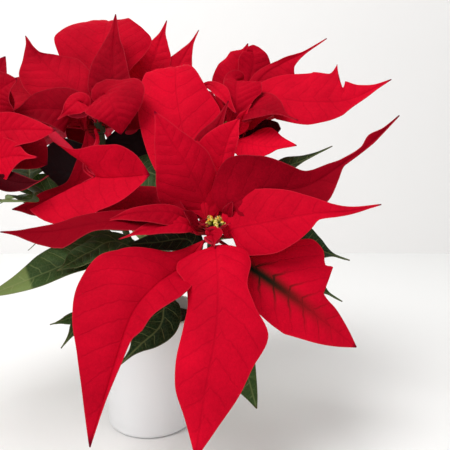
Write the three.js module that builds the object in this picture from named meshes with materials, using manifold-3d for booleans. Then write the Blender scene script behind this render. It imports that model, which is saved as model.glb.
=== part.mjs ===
// A poinsettia (Euphorbia pulcherrima) in its pot: five flower heads on one branched plant.
// Millimetres, +Z up. The origin is the middle of the pot's flat base.
import * as THREE from "three";
import { mergeVertices } from "three/addons/utils/BufferGeometryUtils.js";
import Module from "manifold-3d";

const wasm = await Module();
wasm.setup();

// ---- driving dimensions -------------------------------------------------------------------

const POT_HEIGHT = 108;
const POT_BASE_RADIUS = 41.5; // where the wall meets the rounded lower corner
const POT_TOP_RADIUS = 51;
const POT_WALL = 3.2;
const POT_FLOOR = 5;
const POT_CORNER = 5; // radius of the rounded lower corner
const POT_SIDES = 32;

const SOIL_TOP = 96;
const SOIL_MOUND = 5; // rise of the soil towards the stem
const SOIL_SIDES = 30;
const SEAT_GAP = 0.3; // between pieces that rest on each other

const TRUNK_RADIUS = 5.5;
const TRUNK_FOOT = 40; // height of the woody stem's lower end, deep in the soil
const FORK = [1, -2, 113]; // where the woody stem divides
const STUB_SHARE = 0.16; // part of each branch's path that belongs to the woody stem
const BRANCH_RADIUS = 3.2;
const STEM_SIDES = 8;

const CORE_RADIUS = 4.6; // the thick stem top that carries a head's bracts
const CORE_HEIGHT = 12;
const ROOT_RADIUS = 2; // where a bract's stalk starts, from the core's axis
const ELBOW = 13; // how far the stalk runs out before the blade takes its own way
const STALK_RADIUS = 1.4;
const BLADE_THICKNESS = 0.8;
const TIP_HALF_WIDTH = 0.4;

const CUP_RADIUS = 2.6; // of one cyathium
const CUP_HEIGHT = 7;
const CUP_SIDES = 5;
const CUP_RINGS = [[0, 1], [32, 3], [54, 5]]; // lean of each ring's cups in degrees, and their number
const CUSHION_HEIGHT = 3; // the low receptacle under the cups

// ---- blades: one rule for bracts and green leaves -----------------------------------------
//
// rib: points that the midrib passes, after its stalk.
// ray: instead of rib, [azimuth, rise, bend, length]: an arching midrib that leaves the stem at
//      this azimuth and rise in degrees and bends down by bend degrees over its length.
// root: height of a bract's root on the core, or a leaf's place on its branch, from 0 to 1.
// outline: [place along the rib, left, right] half-widths; left is as seen from the root with
//      the upper side up. Without it the blade has the OVATE outline and half as widest values.
// face: the direction the upper side looks.
// fold: rise of each half from the rib. curl: how much more it turns up by its edge, in degrees.
// wave: height and number of the waves along the edges, and phase where they start.
// sweep: how far the left and right edges run back past the root of the blade.
// strips: strips of faces from the rib to each edge.

const OVATE = [[0.08, 0.1], [0.21, 0.58], [0.42, 1], [0.66, 0.66], [0.85, 0.12]];

const BRACT = {
  half: [24, 24],
  face: [0, 0, 1],
  fold: [8, 8],
  curl: [-14, -14],
  wave: 2,
  waves: 1.6,
  phase: 0,
  sweep: [0, 0],
  strips: 1,
};

const LEAF = { ...BRACT, half: [22, 22], fold: [12, 12] };

// ---- the five heads -----------------------------------------------------------------------

const HEADS = {
  front: {
    top: [59, -50, 183],
    bracts: [
      {
        // hangs over the pot, middle
        root: 1,
        rib: [[63, -79, 179], [65, -102, 161], [64, -124, 133], [57, -139, 96], [51, -149, 55]],
        outline: [[0.1, 10, 14], [0.18, 23, 29], [0.28, 26, 32], [0.4, 22, 24], [0.5, 27, 22],
          [0.6, 37, 24], [0.7, 29, 25], [0.8, 23, 22], [0.9, 12, 11]],
        face: [0, -1, 0.9], fold: [4, 4], curl: [-30, -34], wave: 1, strips: 2,
      },
      {
        // hangs over the pot, left; its inner half is folded up
        root: 2,
        rib: [[37, -75, 166], [20, -96, 157], [6, -115, 142], [-3, -133, 114], [-18, -148, 62]],
        outline: [[0.1, 6, 8], [0.2, 18, 16], [0.3, 24, 27], [0.4, 27, 39], [0.5, 23, 45],
          [0.6, 17, 43], [0.68, 15, 38], [0.72, 9, 35], [0.8, 6, 27], [0.9, 2, 14]],
        face: [0.4, -1, 0.5], fold: [45, 0], curl: [10, -20], wave: 1, strips: 2,
      },
      {
        // lower right
        root: 1,
        rib: [[78, -60, 169], [101, -71, 156], [126, -77, 139], [150, -77, 120], [174, -74, 100]],
        outline: [[0.1, 4, 4], [0.2, 14, 12], [0.3, 24, 19], [0.4, 38, 24], [0.5, 50, 27],
          [0.57, 47, 28], [0.625, 38, 28], [0.665, 41, 26], [0.7, 18, 24], [0.8, 15, 18], [0.9, 9, 10]],
        face: [0, -0.9, 0.7], curl: [-10, -20], wave: 1,
      },
      {
        // right, its tail long
        root: 4,
        rib: [[76, -59, 192], [103, -68, 199], [136, -73, 206], [164, -73, 208], [190, -70, 213]],
        outline: [[0.1, 5, 9], [0.2, 21, 19], [0.3, 31, 24], [0.4, 29, 25], [0.5, 24, 20],
          [0.59, 16, 11], [0.64, 12, 5], [0.72, 7, 4], [0.85, 3, 2]],
        face: [0, -1, 0.5], fold: [6, 6], curl: [-16, -24], wave: 1,
      },
      {
        // right, above: a wavy blade with a twisted tail
        root: 6,
        rib: [[76, -53, 211], [101, -51, 220], [137, -48, 226], [167, -46, 245], [187, -46, 260],
          [209, -46, 282]],
        outline: [[0.08, 3, 3], [0.16, 22, 10], [0.24, 35, 18], [0.33, 31, 22], [0.43, 21, 23],
          [0.52, 12, 20], [0.6, 8, 9], [0.66, 4, 2], [0.78, 2.5, 1.5], [0.85, 6, 1.5], [0.92, 2, 1]],
        face: [0, -1, 0.35], fold: [10, 6], curl: [16, 10], waves: 2, phase: 0.2,
      },
      {
        // upright, middle
        root: 6,
        rib: [[54, -42, 212], [40, -50, 242], [26, -50, 264], [14, -46, 285]],
        outline: [[0.1, 9, 6], [0.18, 24, 12], [0.28, 33, 15], [0.38, 34, 18], [0.5, 29, 20],
          [0.62, 22, 16], [0.75, 14, 11], [0.88, 6, 6]],
        face: [0, -1, 0.15], fold: [6, 6], curl: [-10, -10], wave: 1,
      },
      {
        // upright, right of the middle one
        root: 6,
        rib: [[64, -40, 216], [68, -37, 247], [74, -35, 267], [82, -31, 281]],
        outline: [[0.12, 6, 3], [0.25, 17, 4], [0.37, 23, 7], [0.5, 25, 9], [0.62, 21, 9],
          [0.75, 14, 8], [0.88, 6, 4]],
        face: [0, -1, 0.1], fold: [6, 20], wave: 0.5,
      },
      {
        // tall, arching back
        root: 7,
        rib: [[49, -36, 230], [35, -17, 268], [27, 3, 304], [24, 23, 331], [18, 46, 328]],
        outline: [[0.1, 5, 4], [0.2, 20, 7], [0.3, 33, 14], [0.4, 35, 29], [0.5, 36, 37],
          [0.6, 34, 31], [0.72, 29, 22], [0.8, 25, 16], [0.9, 14, 9]],
        face: [0.1, -1, 0.6], fold: [4, 4], curl: [-16, -16], wave: 1,
      },
      {
        // behind the upright ones
        root: 5, rib: [[59, -28, 228], [60, -18, 263], [73, -4, 298]],
        outline: [[0.05, 15, 11], [0.24, 17, 14], [0.45, 24, 16], [0.68, 15, 10], [0.85, 4, 3]],
        face: [0, -1, 0.4],
      },
      {
        // long, low left
        root: 3,
        rib: [[27, -62, 198], [-18, -74, 200], [-60, -85, 194], [-94, -91, 195]],
        outline: [[0.12, 3, 3], [0.25, 9, 13], [0.4, 10, 13], [0.56, 8, 12], [0.63, 12, 11],
          [0.7, 18, 8], [0.77, 13, 6], [0.84, 8, 4], [0.92, 3, 1.5]],
        face: [0, -0.7, 0.8], wave: 1,
      },
      {
        // short left, above
        root: 5, rib: [[30, -60, 205], [0, -68, 206], [-28, -75, 199]], half: [14, 9],
        face: [0, -0.7, 0.8], wave: 1,
      },
      {
        // short left, below
        root: 4, rib: [[37, -66, 198], [12, -75, 195], [-10, -82, 188]], half: [12, 9],
        face: [0, -0.6, 0.9], wave: 1,
      },
      {
        // left, behind the two short ones
        root: 7, rib: [[21, -46, 210], [-9, -38, 211], [-42, -37, 206]],
        outline: [[0.12, 3, 3], [0.3, 11, 11], [0.5, 15, 15], [0.72, 13, 15], [0.88, 8, 10]],
        face: [0, -1, 0.4],
      },
      {
        // small, in front of the cyathia
        root: 7, rib: [[61, -70, 189], [62, -77, 181]], half: [8, 8], face: [0, -0.9, 0.6], wave: 0,
      },
      {
        // young, beside the cyathia
        root: 9, rib: [[44, -60, 201], [38, -67, 208]], outline: [[0.2, 3, 3], [0.5, 6, 6], [0.8, 3, 3]],
        face: [0.3, -0.8, 0.6], wave: 0.5,
      },
      {
        root: 9, rib: [[72, -54, 205], [76, -56, 214]], outline: [[0.2, 3, 3], [0.5, 5, 5], [0.8, 3, 3]],
        face: [-0.3, -0.8, 0.4], wave: 0.5,
      },
    ],
  },
  upper: {
    top: [-42, 4, 270],
    bracts: [
      {
        // broad, its point towards the front and its two halves swept back
        root: 1,
        rib: [[-42, -10, 262], [-48, -30, 242], [-35, -42, 233], [-12, -47, 233], [10, -52, 235]],
        outline: [[0.58, 1.5, 1.5], [0.6, 31, 48], [0.66, 29, 47], [0.74, 25, 40], [0.8, 27, 33],
          [0.87, 27, 25], [0.94, 19, 13]],
        face: [-0.1, -1, 0.3], fold: [20, 25], curl: [10, 0], wave: 0, sweep: [58, 36], strips: 2,
      },
      {
        // under its lower half
        root: 1, rib: [[-52, -6, 254], [-63, -13, 223], [-89, -19, 212], [-115, -22, 204]],
        outline: [[0.2, 9, 5], [0.45, 20, 9], [0.7, 17, 7], [0.86, 10, 3], [0.94, 4, 1.5]],
        face: [0, -1, 0.3],
      },
      {
        // behind its halves
        root: 2, rib: [[-49, 23, 276], [-66, 21, 259], [-82, 19, 247]], half: [22, 34],
        face: [0, -1, 0.3],
      },
      {
        // the widest, behind the others, arching back
        root: 7, rib: [[-46, 28, 309], [-48, 40, 341], [-48, 53, 366], [-48, 72, 385], [-48, 94, 386]],
        outline: [[0.15, 8, 8], [0.3, 26, 24], [0.45, 42, 41], [0.56, 47, 47], [0.66, 41, 38],
          [0.75, 31, 26], [0.85, 20, 17], [0.94, 10, 9]],
        face: [0, -1, 0.5],
      },
      {
        // upright, pointed, its right margin curled forward
        root: 6, rib: [[-30, 11, 304], [-32, 17, 326], [-33, 26, 352], [-32, 34, 381]],
        outline: [[0.1, 6, 8], [0.2, 16, 14], [0.35, 24, 16], [0.55, 20, 14], [0.68, 14, 11],
          [0.78, 9, 7], [0.88, 4, 4]],
        face: [0, -1, 0.3], curl: [-10, 16],
      },
      {
        // spike, upper left
        root: 6, rib: [[-63, 12, 305], [-89, 21, 328], [-107, 27, 346], [-116, 31, 361]],
        outline: [[0.15, 8, 8], [0.3, 24, 22], [0.45, 32, 26], [0.6, 27, 14], [0.72, 14, 3],
          [0.82, 6, 1.5], [0.88, 3, 1.5]],
        face: [0.2, -1, 0.5],
      },
      {
        // left, its edge turned down
        root: 4, rib: [[-57, -5, 297], [-63, -13, 292], [-73, -21, 280]], half: [18, 11],
        face: [0, -1, 0.6], curl: [-30, -30],
      },
      {
        root: 3, rib: [[-65, -4, 288], [-90, -16, 290], [-115, -28, 284]], half: [22, 24],
        face: [0, -1, 0.5],
      },
      {
        // front, pointing down
        root: 6, rib: [[-36, -3, 302], [-29, -18, 300], [-22, -26, 286], [-18, -24, 268]],
        outline: [[0.15, 8, 8], [0.3, 16, 14], [0.45, 28, 22], [0.58, 31, 24], [0.72, 25, 19],
          [0.87, 12, 9]],
        face: [0, -1, 0.4], curl: [-16, -20], wave: 1,
      },
      {
        // right, in the gap beside the arching bract of the front head
        root: 4, rib: [[-16, 17, 290], [-2, 10, 283], [11, 4, 270]], half: [24, 22], face: [0, -1, 0.3],
      },
      {
        root: 5, rib: [[-73, 17, 292], [-105, 24, 305], [-139, 31, 312], [-169, 35, 314]],
        half: [34, 36], face: [0, -0.8, 0.8],
      },
      { root: 2, ray: [140, 20, 70, 120], half: [28, 28] },
      { root: 3, ray: [100, 30, 70, 115], half: [28, 28] },
    ],
  },
  rear: {
    top: [25, 49, 278],
    bracts: [
      {
        root: 6, rib: [[-8, 77, 328], [-2, 89, 359], [8, 100, 393]],
        outline: [[0.15, 8, 8], [0.35, 22, 20], [0.6, 16, 18], [0.76, 9, 10], [0.88, 3, 3]],
        face: [0, -1, 0.4],
      },
      {
        root: 6, rib: [[15, 76, 324], [25, 88, 350], [42, 99, 383]],
        outline: [[0.15, 8, 8], [0.35, 20, 18], [0.6, 14, 14], [0.76, 7, 7], [0.88, 2, 2]],
        face: [0, -1, 0.4],
      },
      {
        // small, between the heads
        root: 4, rib: [[51, 28, 315], [66, 8, 306], [80, -4, 287]],
        outline: [[0.15, 3, 3], [0.4, 4, 4], [0.65, 8, 5], [0.85, 3, 3]], face: [0, -1, 0.4], wave: 1,
      },
      { root: 3, rib: [[45, 40, 290], [56, 32, 289], [69, 25, 284]], half: [24, 24], face: [0, -1, 0.3] },
      { root: 4, ray: [65, 20, 70, 120], half: [28, 28] },
      { root: 2, ray: [100, 15, 80, 130], half: [30, 30] },
      { root: 5, ray: [145, 35, 60, 90], half: [22, 22] },
      { root: 2, ray: [200, 5, 40, 62], half: [18, 18] },
    ],
  },
  right: {
    top: [72, 28, 262],
    bracts: [
      {
        root: 7, rib: [[75, 44, 306], [83, 55, 333], [93, 66, 362]],
        outline: [[0.12, 4, 4], [0.3, 14, 14], [0.5, 22, 15], [0.66, 21, 11], [0.78, 16, 8],
          [0.86, 14, 6], [0.92, 4, 3]],
        face: [0, -1, 0.3],
      },
      {
        root: 7, rib: [[90, 43, 310], [97, 53, 335], [98, 59, 352], [93, 67, 347]],
        outline: [[0.15, 4, 4], [0.35, 12, 18], [0.55, 16, 19], [0.7, 12, 14], [0.8, 6, 8]],
        face: [0.3, -1, 0.3],
      },
      {
        root: 6, rib: [[102, 42, 320], [125, 42, 338], [144, 41, 347], [167, 41, 361]],
        outline: [[0.1, 4, 6], [0.25, 9, 18], [0.4, 6, 25], [0.52, 4, 22], [0.62, 3, 8], [0.8, 2, 2]],
        face: [0, -1, 0.4],
      },
      {
        // long, right, with a deep tooth
        root: 4, rib: [[110, 23, 300], [147, 10, 299], [181, 2, 300], [217, 1, 317]],
        outline: [[0.1, 6, 6], [0.2, 18, 14], [0.35, 31, 24], [0.5, 34, 26], [0.6, 32, 23],
          [0.695, 43, 17], [0.725, 15, 13], [0.765, 21, 9], [0.84, 11, 5], [0.92, 3, 2]],
        face: [0, -0.9, 0.6], wave: 1,
      },
      {
        root: 6, rib: [[89, 15, 292], [110, -2, 290], [132, -21, 280]], half: [24, 18],
        face: [0, -0.7, 0.7],
      },
      {
        // upright, short, its top arching over
        root: 5, rib: [[79, 10, 293], [80, 15, 309], [81, 26, 320], [83, 38, 317]],
        outline: [[0.15, 6, 6], [0.35, 12, 16], [0.55, 12, 24], [0.75, 12, 22], [0.9, 8, 12]],
        face: [0, -1, 0.2],
      },
      {
        root: 3, rib: [[84, 10, 276], [87, 6, 286], [94, 4, 297]], half: [7, 7],
        face: [0, -1, 0.2], wave: 0,
      },
      {
        root: 1, rib: [[89, 6, 262], [108, -6, 258], [132, -16, 259]],
        outline: [[0.1, 6, 6], [0.25, 16, 14], [0.45, 20, 17], [0.6, 21, 14], [0.72, 18, 9],
          [0.8, 13, 4], [0.88, 8, 2]],
        face: [0, -0.8, 0.6],
      },
      {
        // short, behind that one
        root: 2, rib: [[92, 24, 275], [108, 21, 276], [122, 18, 275]],
        outline: [[0.2, 6, 6], [0.45, 10, 10], [0.7, 9, 10], [0.9, 7, 8]], face: [0, -1, 0.5], wave: 1,
      },
      { root: 2, ray: [40, 50, 60, 110], half: [26, 26] },
      { root: 4, ray: [65, 30, 70, 105], half: [26, 26] },
      { root: 5, ray: [110, 35, 70, 70], half: [18, 18] },
    ],
  },
  left: {
    top: [-136, -45, 247],
    bracts: [
      {
        root: 2, rib: [[-117, -47, 248], [-98, -51, 250], [-77, -57, 249]], half: [18, 24],
        face: [0, -1, 0.4],
      },
      {
        // a level band, right
        root: 5, rib: [[-124, -40, 268], [-99, -42, 271], [-66, -46, 270]],
        outline: [[0.1, 8, 8], [0.3, 16, 16], [0.6, 15, 16], [0.82, 9, 12]], face: [0, -1, 0.4],
      },
      {
        // behind the two
        root: 4, rib: [[-129, -28, 255], [-102, -30, 251], [-78, -34, 243]],
        outline: [[0.1, 8, 8], [0.3, 26, 10], [0.6, 27, 14], [0.8, 22, 11], [0.92, 12, 6]],
        face: [0, -1, 0.4],
      },
      {
        root: 7, rib: [[-130, -33, 282], [-124, -25, 306], [-115, -17, 333]],
        outline: [[0.1, 4, 4], [0.3, 20, 22], [0.55, 24, 22], [0.76, 17, 12], [0.9, 10, 5]],
        face: [0, -1, 0.3],
      },
      {
        root: 6, rib: [[-126, -35, 284], [-115, -34, 302], [-99, -34, 312]],
        outline: [[0.2, 12, 12], [0.45, 24, 22], [0.7, 20, 16], [0.88, 10, 5]], face: [0, -1, 0.3],
      },
      {
        // young, under the others
        root: 1, rib: [[-117, -53, 237], [-98, -58, 230], [-80, -62, 229], [-66, -65, 235]],
        half: [8, 9], face: [0, -0.9, 0.5],
      },
      { root: 3, ray: [195, 20, 70, 120], half: [28, 28] },
      { root: 1, ray: [238, 15, 80, 125], half: [28, 28] },
      { root: 4, ray: [150, 25, 70, 115], half: [26, 26] },
      { root: 4, ray: [275, 30, 90, 90], half: [22, 22] },
      { root: 6, ray: [110, 40, 60, 80], half: [22, 22] },
      { root: 6, ray: [215, 40, 70, 75], half: [20, 20] },
    ],
  },
};

// ---- the branches, from the fork to each head, with their green leaves --------------------

const BRANCHES = {
  front: {
    path: [[26, -22, 134], [54, -37, 160]],
    leaves: [
      {
        root: 0.55, rib: [[-14, -56, 181], [-35, -69, 176], [-48, -78, 169], [-57, -83, 164]],
        half: [20, 15], face: [0, -0.5, 1],
      },
      {
        root: 0.45, rib: [[-23, -48, 176], [-49, -62, 168], [-73, -76, 159], [-111, -90, 145]],
        outline: [[0.1, 4, 4], [0.3, 16, 19], [0.5, 18, 25], [0.7, 15, 20], [0.88, 8, 7]],
        face: [0, -0.6, 1],
      },
      {
        root: 0.3, rib: [[20, -52, 132], [18, -66, 115], [3, -78, 103], [-12, -88, 90]],
        half: [15, 22], face: [0, -1, 0.5],
      },
      {
        // level, under the bracts at the left
        root: 0.7, rib: [[41, -53, 182], [13, -51, 180], [-24, -50, 177]], half: [13, 13],
        face: [0, -0.8, 0.7],
      },
      {
        root: 0.4, rib: [[70, -68, 120], [84, -76, 90], [95, -83, 53]],
        outline: [[0.2, 8, 10], [0.4, 14, 21], [0.65, 10, 22], [0.82, 6, 13], [0.93, 3, 5]],
        face: [0, -1, 0.3],
      },
    ],
  },
  left: {
    path: [[-58, -8, 188], [-106, -17, 227]],
    leaves: [
      {
        root: 0.25, rib: [[-45, -27, 121], [-64, -34, 111], [-81, -39, 106]], half: [14, 6],
        face: [0, -0.6, 0.8],
      },
      {
        root: 0.25, rib: [[-39, -34, 116], [-54, -45, 108], [-66, -57, 92]], half: [12, 11],
        face: [0, -0.8, 0.6],
      },
      {
        root: 0.6, rib: [[-90, 12, 214], [-117, 13, 220], [-143, 8, 227]], half: [8, 21],
        face: [0, -1, 0.6],
      },
      {
        root: 0.7, rib: [[-91, -45, 214], [-110, -55, 214], [-124, -65, 214]], half: [9, 9],
        face: [0, -0.05, 1],
      },
      { root: 0.75, ray: [110, 35, 60, 115], half: [24, 24] },
      { root: 0.5, ray: [150, 35, 60, 105], half: [22, 22] },
      { root: 0.85, ray: [208, 0, 40, 90], half: [20, 20] },
    ],
  },
  upper: {
    path: [[-16, 0, 165], [-36, 4, 225]],
    leaves: [
      {
        // facing forward between the heads
        root: 0.55, rib: [[-24, 17, 219], [-17, 18, 246], [-18, 18, 264], [-25, 17, 279]],
        outline: [[0.1, 6, 6], [0.3, 24, 28], [0.55, 24, 36], [0.75, 26, 29], [0.9, 24, 14]],
        face: [0, -1, 0.2],
      },
      {
        // left, in the hollow under the broad bract
        root: 0.8, rib: [[-48, 1, 233], [-69, -1, 235], [-98, -3, 243]],
        outline: [[0.15, 10, 10], [0.35, 22, 22], [0.6, 22, 28], [0.8, 12, 29], [0.94, 5, 20]],
        face: [0, -1, 0.2],
      },
      { root: 0.35, ray: [150, 20, 50, 120], half: [24, 24] },
      { root: 0.5, ray: [95, 10, 50, 115], half: [22, 22] },
      { root: 0.45, ray: [165, 15, 60, 100], half: [20, 20] },
      { root: 0.8, ray: [340, 10, 70, 85], half: [24, 24], face: [0, -1, 0.6] },
    ],
  },
  right: {
    path: [[32, 12, 160], [64, 24, 220]],
    leaves: [
      {
        root: 0.35, rib: [[118, -24, 148], [146, -31, 139], [171, -37, 126]], half: [24, 22],
        face: [0, -0.6, 1],
      },
      {
        root: 0.5, rib: [[121, -33, 182], [148, -38, 172], [175, -41, 163]], half: [18, 22],
        face: [0, -0.8, 1],
      },
      {
        root: 0.8, rib: [[108, 16, 238], [134, 11, 243], [168, 7, 259]],
        outline: [[0.2, 3, 5], [0.4, 6, 11], [0.6, 12, 12], [0.78, 8, 6], [0.9, 3, 2]],
        face: [0, -0.5, 1],
      },
      { root: 0.4, ray: [20, 10, 50, 120], half: [22, 22] },
      { root: 0.6, ray: [50, 15, 60, 110], half: [22, 22] },
    ],
  },
  rear: {
    path: [[8, 26, 168], [20, 44, 226]],
    leaves: [
      { root: 0.4, ray: [110, 10, 60, 120], half: [24, 24] },
      { root: 0.65, ray: [60, 10, 60, 110], half: [22, 22] },
      { root: 0.25, ray: [80, 5, 60, 115], half: [22, 22] },
      { root: 0.8, ray: [150, 10, 60, 100], half: [20, 20] },
      { root: 0.65, ray: [190, 10, 50, 55], half: [16, 16] },
    ],
  },
};

// ---- small helpers ------------------------------------------------------------------------

const UP = new THREE.Vector3(0, 0, 1);
const vec = (a) => new THREE.Vector3(...a);
const rad = THREE.MathUtils.degToRad;

function material(color, roughness) {
  return new THREE.MeshStandardMaterial({ color, roughness, metalness: 0 });
}

const MATERIALS = {
  bract: material(0xc80f24, 0.6),
  leaf: material(0x234a26, 0.55),
  wood: material(0x6a5a3a, 0.8),
  cyathia: material(0xc9b52a, 0.5),
  pot: material(0xe6e6e4, 0.45),
  soil: material(0x2c211a, 0.95),
};

// A closed geometry as a manifold-3d solid.
function solidOf(geometry) {
  const bare = geometry.clone();
  bare.deleteAttribute("normal");
  bare.deleteAttribute("uv");
  const merged = mergeVertices(bare, 1e-4);
  return new wasm.Manifold(
    new wasm.Mesh({
      numProp: 3,
      vertProperties: merged.attributes.position.array,
      triVerts: new Uint32Array(merged.index.array),
    }),
  );
}

function geometryOf(solid) {
  const mesh = solid.getMesh();
  const geometry = new THREE.BufferGeometry();
  geometry.setAttribute("position", new THREE.BufferAttribute(new Float32Array(mesh.vertProperties), 3));
  geometry.setIndex(new THREE.BufferAttribute(new Uint32Array(mesh.triVerts), 1));
  geometry.computeVertexNormals();
  return geometry;
}

function named(name, geometry, look) {
  const mesh = new THREE.Mesh(geometry, look);
  mesh.name = name;
  return mesh;
}

// A geometry that was made along +Y, moved to start at a point and run along an axis.
function along(geometry, start, axis) {
  const turn = new THREE.Quaternion().setFromUnitVectors(new THREE.Vector3(0, 1, 0), axis);
  return geometry.applyMatrix4(new THREE.Matrix4().compose(start, turn, new THREE.Vector3(1, 1, 1)));
}

// A straight round rod that starts at a point and runs along an axis.
function rod(from, axis, length, radius, sides) {
  const cylinder = new THREE.CylinderGeometry(radius, radius, length, sides).translate(0, length / 2, 0);
  return solidOf(along(cylinder, from, axis));
}

// A closed solid turned about +Z from [radius, height] points.
function turned(profile, sides) {
  const points = profile.map(([x, y]) => new THREE.Vector2(Math.max(0, x), y));
  return solidOf(new THREE.LatheGeometry(points, sides).rotateX(Math.PI / 2));
}

// ---- blades -------------------------------------------------------------------------------

const RAY_STEPS = 4;

// The midrib of a blade given as a ray: it starts at its rise and bends down evenly.
function rayPoints(start, [azimuth, rise, bend, length]) {
  const points = [];
  const at = start.clone();
  for (let i = 0; i < RAY_STEPS; i += 1) {
    const slope = rad(rise - (bend * (i + 0.5)) / RAY_STEPS);
    const out = Math.cos(slope);
    const way = new THREE.Vector3(out, 0, Math.sin(slope)).applyAxisAngle(UP, rad(azimuth));
    at.addScaledVector(way, length / RAY_STEPS);
    points.push(at.clone());
  }
  return points;
}

// Rows of [place, left, right] from the elbow of the stalk to the tip.
function outlineOf(spec) {
  const ovate = OVATE.map(([t, share]) => [t, share * spec.half[0], share * spec.half[1]]);
  const rows = spec.outline || ovate;
  return [[0, STALK_RADIUS, STALK_RADIUS], ...rows, [1, TIP_HALF_WIDTH, TIP_HALF_WIDTH]];
}

// The two directions across a blade that runs along a tangent: over its upper side, and left.
function crosswise(face, tangent) {
  const normal = face.clone().addScaledVector(tangent, -face.dot(tangent)).normalize();
  return [normal, new THREE.Vector3().crossVectors(normal, tangent)];
}

// The point of a blade in one row of its outline and u across the half, from rib 0 to edge 1.
function bladePoint(spec, curve, face, [t, leftWidth, rightWidth], side, u) {
  const tangent = curve.getTangent(t);
  const [normal, left] = crosswise(face, tangent);
  const half = side > 0 ? 0 : 1;
  const width = side > 0 ? leftWidth : rightWidth;
  const fold = rad(spec.fold[half]);
  const curl = rad(spec.curl[half]) || 1e-6;
  const out = (width * (Math.sin(fold + curl * u) - Math.sin(fold))) / curl;
  const up = (width * (Math.cos(fold) - Math.cos(fold + curl * u))) / curl;
  const calm = Math.min(1, 4 * t, 4 * (1 - t));
  const turns = spec.waves * t + spec.phase + (side > 0 ? 0.35 : 0);
  const ripple = spec.wave * u * u * calm * Math.sin(2 * Math.PI * turns);
  const ahead = spec.outline ? (1 - t) / (1 - spec.outline[0][0]) : 0;
  const back = ahead < 1 ? spec.sweep[half] * u * ahead ** 1.4 : 0;
  return curve
    .getPoint(t)
    .addScaledVector(left, side * out)
    .addScaledVector(normal, up + ripple)
    .addScaledVector(tangent, -back);
}

// A blade as a closed solid: the same grid of points on its upper and lower side. Its stalk runs
// straight from its root to the elbow.
function bladeSolid(given, kind, root, elbow) {
  const spec = { ...kind, ...given };
  const points = spec.ray ? rayPoints(elbow, spec.ray) : spec.rib.map(vec);
  const curve = new THREE.CatmullRomCurve3([elbow, ...points], false, "catmullrom", 0.5);
  const face = vec(spec.face).normalize();
  const across = [];
  for (let j = -spec.strips; j <= spec.strips; j += 1) {
    across.push([Math.sign(j), Math.abs(j) / spec.strips]);
  }
  const outline = outlineOf(spec);
  const grid = outline.map((row) => across.map(([side, u]) => bladePoint(spec, curve, face, row, side, u)));
  const [, left] = crosswise(face, elbow.clone().sub(root).normalize());
  grid.unshift(across.map(([side, u]) => root.clone().addScaledVector(left, side * u * STALK_RADIUS)));
  outline.unshift(outline[0]);
  const rows = grid.length;
  const cols = across.length;
  const bladeStart = outline[3][0];
  const position = [];
  for (const side of [1, -1]) {
    for (let i = 0; i < rows; i += 1) {
      const stalk = Math.max(0, 1 - outline[i][0] / bladeStart);
      const thick = BLADE_THICKNESS + (2 * STALK_RADIUS - BLADE_THICKNESS) * stalk;
      for (let j = 0; j < cols; j += 1) {
        const down = grid[Math.min(i + 1, rows - 1)][j].clone().sub(grid[Math.max(i - 1, 0)][j]);
        const over = grid[i][Math.min(j + 1, cols - 1)].clone().sub(grid[i][Math.max(j - 1, 0)]);
        const normal = over.cross(down).normalize();
        position.push(...grid[i][j].clone().addScaledVector(normal, (side * thick) / 2).toArray());
      }
    }
  }
  const upper = (i, j) => i * cols + j;
  const lower = (i, j) => rows * cols + i * cols + j;
  const index = [];
  const quad = (a, b, c, d) => index.push(a, b, c, a, c, d);
  for (let i = 0; i < rows - 1; i += 1) {
    for (let j = 0; j < cols - 1; j += 1) {
      quad(upper(i, j), upper(i, j + 1), upper(i + 1, j + 1), upper(i + 1, j));
      index.push(lower(i, j), lower(i + 1, j + 1), lower(i, j + 1));
      index.push(lower(i, j), lower(i + 1, j), lower(i + 1, j + 1));
    }
    quad(upper(i, 0), upper(i + 1, 0), lower(i + 1, 0), lower(i, 0));
    quad(upper(i, cols - 1), lower(i, cols - 1), lower(i + 1, cols - 1), upper(i + 1, cols - 1));
  }
  for (let j = 0; j < cols - 1; j += 1) {
    quad(upper(0, j), lower(0, j), lower(0, j + 1), upper(0, j + 1));
    quad(upper(rows - 1, j), upper(rows - 1, j + 1), lower(rows - 1, j + 1), lower(rows - 1, j));
  }
  const geometry = new THREE.BufferGeometry();
  geometry.setAttribute("position", new THREE.Float32BufferAttribute(position, 3));
  geometry.setIndex(index);
  return solidOf(geometry);
}

// The direction in which a stalk leaves the stem, square to the stem's axis.
function stalkWay(spec, root, axis) {
  const way = spec.ray ? rayPoints(root, spec.ray)[0].sub(root) : vec(spec.rib[0]).sub(root);
  return way.addScaledVector(axis, -way.dot(axis)).normalize();
}

// ---- stems --------------------------------------------------------------------------------

const STUB_STEPS = 3;
const BRANCH_STEPS = 8;

// A stretch of a longer curve, for the two stems that share one path.
class Stretch extends THREE.Curve {
  constructor(whole, from, to) {
    super();
    this.whole = whole;
    this.from = from;
    this.to = to;
  }

  getPoint(t) {
    return this.whole.getPointAt(this.from + (this.to - this.from) * t);
  }
}

function tube(curve, radius, steps) {
  const outline = [];
  for (let i = 0; i < STEM_SIDES; i += 1) {
    const turn = (2 * Math.PI * i) / STEM_SIDES;
    outline.push(new THREE.Vector2(radius * Math.cos(turn), radius * Math.sin(turn)));
  }
  return solidOf(new THREE.ExtrudeGeometry(new THREE.Shape(outline), { steps, extrudePath: curve }));
}

function branchCurve(name) {
  const points = [FORK, ...BRANCHES[name].path, HEADS[name].top].map(vec);
  return new THREE.CatmullRomCurve3(points, false, "catmullrom", 0.5);
}

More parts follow.
